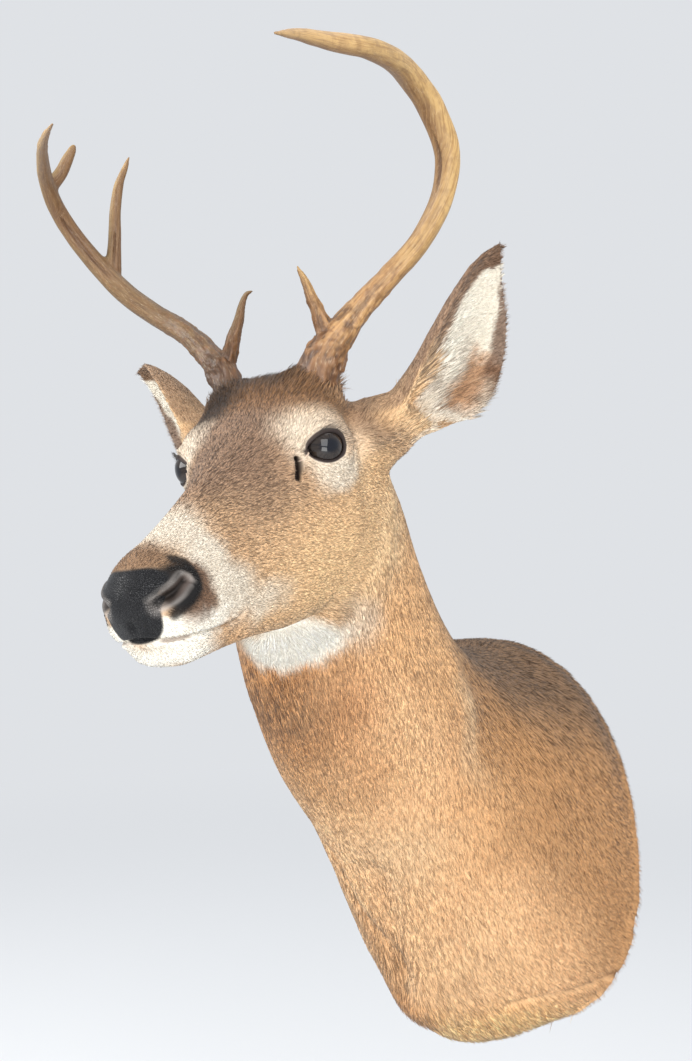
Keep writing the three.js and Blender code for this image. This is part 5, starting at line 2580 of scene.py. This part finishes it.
@dataclass
class Antler:
    """One antler: its beam and tines grown into one piece.

    Args:
        side: Which antler.
        voxel: The size of its faces, in metres.
        pearl: The height of the pearls round its base, in millimetres.
        groove: The depth of its grooves, in millimetres.
        burr: The height of the ring round its root, its place along the beam, and its half width.
    """

    side: Side
    voxel: float = 1.15 * MM
    pearl: float = 0.95
    groove: float = 0.5
    burr: Triple = (1.0, 30.0, 9.0)

    def build(self, nodes: dict) -> bpy.types.Object:
        """Makes the antler.

        Args:
            nodes: The frame's nodes by name.

        Returns:
            The finished piece.
        """
        own = sorted(name for name in nodes if name.startswith(f"antler_{self.side.label}"))
        piece = self._grown()
        mesh = piece.data
        places, normals = places_of(mesh), normals_of(mesh)
        local = HEAD.local(places)
        way, level, spoke = self._measure(local)
        rise = self._relief(places, way, level, spoke) - 2.0 * self._channel(normals, way)
        put_places(mesh, places + normals * (rise - 0.3)[:, None] * MM)
        attach(mesh, "bone_colour", self._colour(places, normals, way, rise))
        attach(mesh, "grain_way", np.stack([spoke[:, 0] * 14, spoke[:, 1] * 14, level * 0.12], axis=1) * MM)
        smooth_shaded(mesh)
        mesh.materials.clear()
        mesh.materials.append(AntlerFinish().material())
        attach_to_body(piece, BODY)
        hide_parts(*own)
        return piece

    def _grown(self) -> bpy.types.Object:
        """Joins smooth rods along the beam and the tines into one skin.

        Returns:
            The new piece.
        """
        bm = bmesh.new()
        for number, rod in enumerate(ANTLERS[self.side]):
            line = rounded(rod.points, 12)
            reach = np.concatenate([[0.0], np.cumsum(np.linalg.norm(np.diff(line, axis=0), axis=1))])
            radii = rod.radius(reach / reach[-1])
            if number == 0:
                height, place, width = self.burr
                radii = radii + height * np.exp(-(((reach - place) / width) ** 2))
            join_part(bm, tube("rod", HEAD.world(line), radii * MM, False, 12))
        mesh = mesh_of(bm, f"antler_{self.side.label}")
        piece = new_object(mesh.name, mesh)
        with_modifier(piece, "REMESH", mode="VOXEL", voxel_size=self.voxel)
        mesh = piece.data
        put_places(mesh, relaxed(places_of(mesh), edges_of(mesh), np.full(len(mesh.vertices), 5)))
        return piece

    def _measure(self, local: Array) -> tuple[Array, Array, Array]:
        """Places points along and round the nearest middle line.

        Args:
            local: Points along the head's axes.

        Returns:
            The way along from base to tip, 0 to 1; the same in millimetres; and the spoke's two parts
            across the line.
        """
        best = np.full(len(local), np.inf)
        way = np.zeros(len(local))
        level = np.zeros(len(local))
        spoke = np.zeros((len(local), 2))
        for number, rod in enumerate(ANTLERS[self.side]):
            line = rounded(rod.points, 8)
            gap, own_way, foot = along_line(local, line)
            gap = gap - rod.radius(own_way)
            length = np.linalg.norm(np.diff(line, axis=0), axis=1).sum()
            nearer = gap < best
            best = np.where(nearer, gap, best)
            way = np.where(nearer, rod.start + own_way * (rod.end - rod.start), way)
            level = np.where(nearer, own_way * length + number * 90.0, level)
            ahead = ahead_along(line, own_way)
            first = unit(np.cross(ahead, np.array([0.6, 0.2, 0.77])))
            second = np.cross(ahead, first)
            out = unit(local - foot)
            parts = np.stack([(out * first).sum(1), (out * second).sum(1)], axis=1)
            spoke = np.where(nearer[:, None], parts, spoke)
        return way, level, spoke

    def _channel(self, normals: Array, way: Array) -> Array:
        """How much each place lies in the long channel along the beam's inner side, from 0 to 1.

        Args:
            normals: The surface's outward direction at each place.
            way: The way along from base to tip, 0 to 1.

        Returns:
            One value for each place.
        """
        low, high = (HEAD.way(np.array(ends) * self.side.mirror) for ends in CHANNEL)
        facing = (normals * unit(low + (high - low) * step(0.42, 0.58, way)[:, None])).sum(1)
        along = step(0.3, 0.42, way) * step(0.72, 0.6, way)
        return step(0.955, 0.985, facing) * along

    def _relief(self, places: Array, way: Array, level: Array, spoke: Array) -> Array:
        """Grooves along the antler and long pearls round its base, in millimetres.

        Args:
            places: Points in metres.
            way: The way along from base to tip, 0 to 1.
            level: The same in millimetres.
            spoke: The spoke's two parts across the line.

        Returns:
            One height for each place.
        """
        angle = np.arctan2(spoke[:, 1], spoke[:, 0])
        drift = 1.2 * np.sin(level / 70.0)
        ridges = np.cos(5 * angle + drift) * 0.6 + np.cos(9 * angle - drift * 2) * 0.4
        relief = ridges * self.groove * step(0.6, 0.15, way)
        unrolled = np.stack([spoke[:, 0] * 12.0, spoke[:, 1] * 12.0, level * 0.55], axis=1) * MM
        knobs = grain(unrolled, 0.003, 40) + grain(unrolled, 0.0018, 41) * 0.7 - 0.85
        ring = 1.0 + 0.9 * np.exp(-(((level - self.burr[1]) / 8.0) ** 2))
        relief = relief + np.clip(knobs, -0.35, 0.6) * 1.9 * ring * self.pearl * step(0.34, 0.06, way)
        return relief + sway(places, 0.012, 42, 0.5)

    def _colour(self, places: Array, normals: Array, way: Array, rise: Array) -> Array:
        """The colour at each place: stained base, golden beam, warm pale tips, darker grooves, and painted
        shade on the inner side, in the inner channel and over the right antler.

        Args:
            places: Points in metres.
            normals: The surface's outward direction at each place.
            way: The way along from base to tip, 0 to 1.
            rise: The relief at each place, in millimetres.

        Returns:
            One colour for each place, as light.
        """
        wander = way + sway(places, 0.03, 50, 0.1)
        inner = normals @ HEAD.way(INNER[self.side])
        mottle = grain(places, 0.0035, 51) * 0.6 + grain(places, 0.0016, 52) * 0.4
        groove = step(0.05, -0.5, rise) * step(0.3, 0.05, way)
        # Painted shade: the right antler is darker, fading out towards its tips.
        painted_shade = ANTLER_SHADE[self.side] + (1.0 - ANTLER_SHADE[self.side]) * step(0.35, 1.0, wander)
        bone = lay(
            np.tile(Tone.ANTLER_BASE.linear, (len(places), 1)),
            (Tone.ANTLER_LOW, step(0.02, 0.16, wander)),
            (Tone.ANTLER_BEAM, step(0.12, 0.4, wander)),
            (Tone.ANTLER_TIP, step(0.7, 0.98, wander) * 0.9),
        )
        colour = lay(
            bone * painted_shade[:, None],
            # Painted shade on the side facing in and down.
            (Tone.ANTLER_BASE, step(-0.35, 0.75, inner + wander * 0.2) * 0.72),
            (Tone.ANTLER_BASE, step(0.52, 0.34, mottle) * (0.3 + 0.5 * step(0.3, 0.05, way))),
            (Tone.ANTLER_GROOVE, groove * 0.8),
            # Painted shade in the inner channel.
            (Tone.ANTLER_BASE, self._channel(normals, way) * 0.7),
        )
        return np.clip(colour * (1.0 + 0.22 * np.clip(rise, -1.0, 1.0))[:, None], 0.0, 1.0)


# --- Backboard ---


@dataclass
class Backboard:
    """The plywood board behind the shoulders, with its steel hanger and screws.

    Args:
        screw: The radius of a screw's head, in metres.
        inset: How far the screws stand in from the hanger's edges.
    """

    screw: float = 4.0 * MM
    inset: float = 6 * MM

    def build(self, nodes: dict) -> bpy.types.Object:
        """Dresses the board and its hanger, and adds the screws.

        Args:
            nodes: The frame's nodes by name.

        Returns:
            The screws.
        """
        for name, finish in (("backboard", PlywoodFinish()), ("hanger_plate", SteelFinish())):
            mesh = nodes[name].data
            mesh.materials.clear()
            mesh.materials.append(finish.material())
        return self._screws()

    def _screws(self) -> bpy.types.Object:
        """Four round-headed screws that hold the hanger.

        Returns:
            The screws, as one piece.
        """
        low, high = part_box("hanger_plate")
        bm = bmesh.new()
        for x in (low[0] + self.inset, high[0] - self.inset):
            for z in (low[2] + self.inset, high[2] - self.inset):
                self._screw(bm, Vector((x, high[1], z)))
        bmesh.ops.recalc_face_normals(bm, faces=bm.faces)
        mesh = mesh_of(bm, "hanger_screws")
        mesh.materials.append(SteelFinish("screw_steel", (0.42, 0.38, 0.28)).material())
        piece = new_object("hanger_screws", mesh)
        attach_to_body(piece, BODY)
        return piece

    def _screw(self, bm: bmesh.types.BMesh, place: Vector) -> None:
        """Adds one round-headed screw.

        Args:
            bm: The working mesh.
            place: The middle of its head.
        """
        turn = Matrix.Rotation(math.radians(-90), 4, "X")
        made = bmesh.ops.create_cone(
            bm,
            cap_ends=True,
            segments=24,
            radius1=self.screw,
            radius2=self.screw * 0.62,
            depth=1.2 * MM,
            matrix=Matrix.Translation(place) @ turn,
        )
        edges = {e for v in made["verts"] for e in v.link_edges if e.calc_face_angle(0) > 0.5}
        bmesh.ops.bevel(
            bm, geom=list(edges), offset=0.25 * MM, segments=2, profile=0.5, material=-1, affect="EDGES"
        )


# --- Studio ---


@dataclass
class Studio:
    """The pale floor, the soft lights and the camera."""

    camera_at: Triple = (0.486, -0.882, 0.236)
    heading: float = 38.3
    pitch: float = 5.5
    lens: float = 28.0
    floor_below: float = 0.55
    floor_radius: float = 6.0
    backdrop: Triple = (0.74, 0.76, 0.79)

    def build(self) -> None:
        """Sets the stage."""
        self._camera()
        self._floor()
        self._light("key", (-1.2, -2.5, 1.2), 1.6, 58.0, (1.0, 0.99, 0.97))
        self._light("fill", (2.1, -1.9, 1.0), 1.8, 46.0, (1.0, 0.99, 0.98))
        self._light("top", (0.4, -0.2, 2.4), 1.4, 9.0, (1.0, 1.0, 1.0))
        self._light("low", (1.6, -1.5, -0.6), 1.2, 29.0, (1.0, 0.98, 0.95))
        world = bpy.data.worlds.new("studio")
        world.use_nodes = True
        world.node_tree.nodes["Background"].inputs["Color"].default_value = (*self.backdrop, 1.0)
        world.node_tree.nodes["Background"].inputs["Strength"].default_value = 1.0
        bpy.context.scene.world = world
        bpy.context.scene.view_settings.view_transform = "Standard"

    def _camera(self) -> None:
        """Adds the camera."""
        data = bpy.data.cameras.new("camera")
        data.lens = self.lens
        data.sensor_fit = "AUTO"
        data.sensor_width = 36.0
        data.clip_start = 0.01
        camera = new_object("camera", data)
        camera.location = self.camera_at
        camera.rotation_euler = (math.radians(90 + self.pitch), 0.0, math.radians(self.heading))
        bpy.context.scene.camera = camera

    def _floor(self) -> None:
        """Adds the floor."""
        bm = bmesh.new()
        bmesh.ops.create_circle(bm, cap_ends=True, segments=64, radius=self.floor_radius)
        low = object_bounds()[0]
        bmesh.ops.translate(bm, verts=bm.verts, vec=(0.0, 0.0, low[2] - self.floor_below))
        mesh = mesh_of(bm, "floor")
        g = Graph("floor_paint")
        far = g.node("ShaderNodeVectorMath", {"operation": "LENGTH"}, {0: g.place()}, "Value").rise(1.4, 4.6)
        paint = g.finish(
            Base_Color=g.mix(far, (0.82, 0.83, 0.84), (0.0, 0.0, 0.0)),
            Roughness=0.9,
            Specular_IOR_Level=0.0,
            Emission_Color=g.mix(far, (0.0, 0.0, 0.0), self.backdrop),
            Emission_Strength=1.0,
        )
        mesh.materials.append(paint)
        new_object("floor", mesh)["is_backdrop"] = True

    def _light(self, name: str, at: Triple, size: float, power: float, colour: Triple) -> None:
        """Adds a square soft light that faces the mount.

        Args:
            name: Its name.
            at: Where it hangs.
            size: The length of its sides, in metres.
            power: Its power, in watts.
            colour: Its colour.
        """
        data = bpy.data.lights.new(name, "AREA")
        data.shape = "SQUARE"
        data.size = size
        data.energy = power
        data.color = colour
        lamp = new_object(name, data)
        lamp.location = at
        aim = Vector((0.02, -0.28, 0.2)) - Vector(at)
        lamp.rotation_euler = aim.to_track_quat("-Z", "Y").to_euler()


def main() -> None:
    """Builds the mount piece by piece, and logs how many faces each main piece has."""
    logging.basicConfig(level=logging.INFO, format="%(name)s: %(message)s")
    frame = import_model()
    nodes = frame["nodes"]
    hide = Hide().build(nodes)
    report(hide)
    for side in Side:
        report(Eye(side).build())
        report(Lashes(side).build())
        report(Antler(side).build(nodes))
    Coat(hide).build()
    report(Backboard().build(nodes))
    Studio().build()


if __name__ == "__main__":
    main()
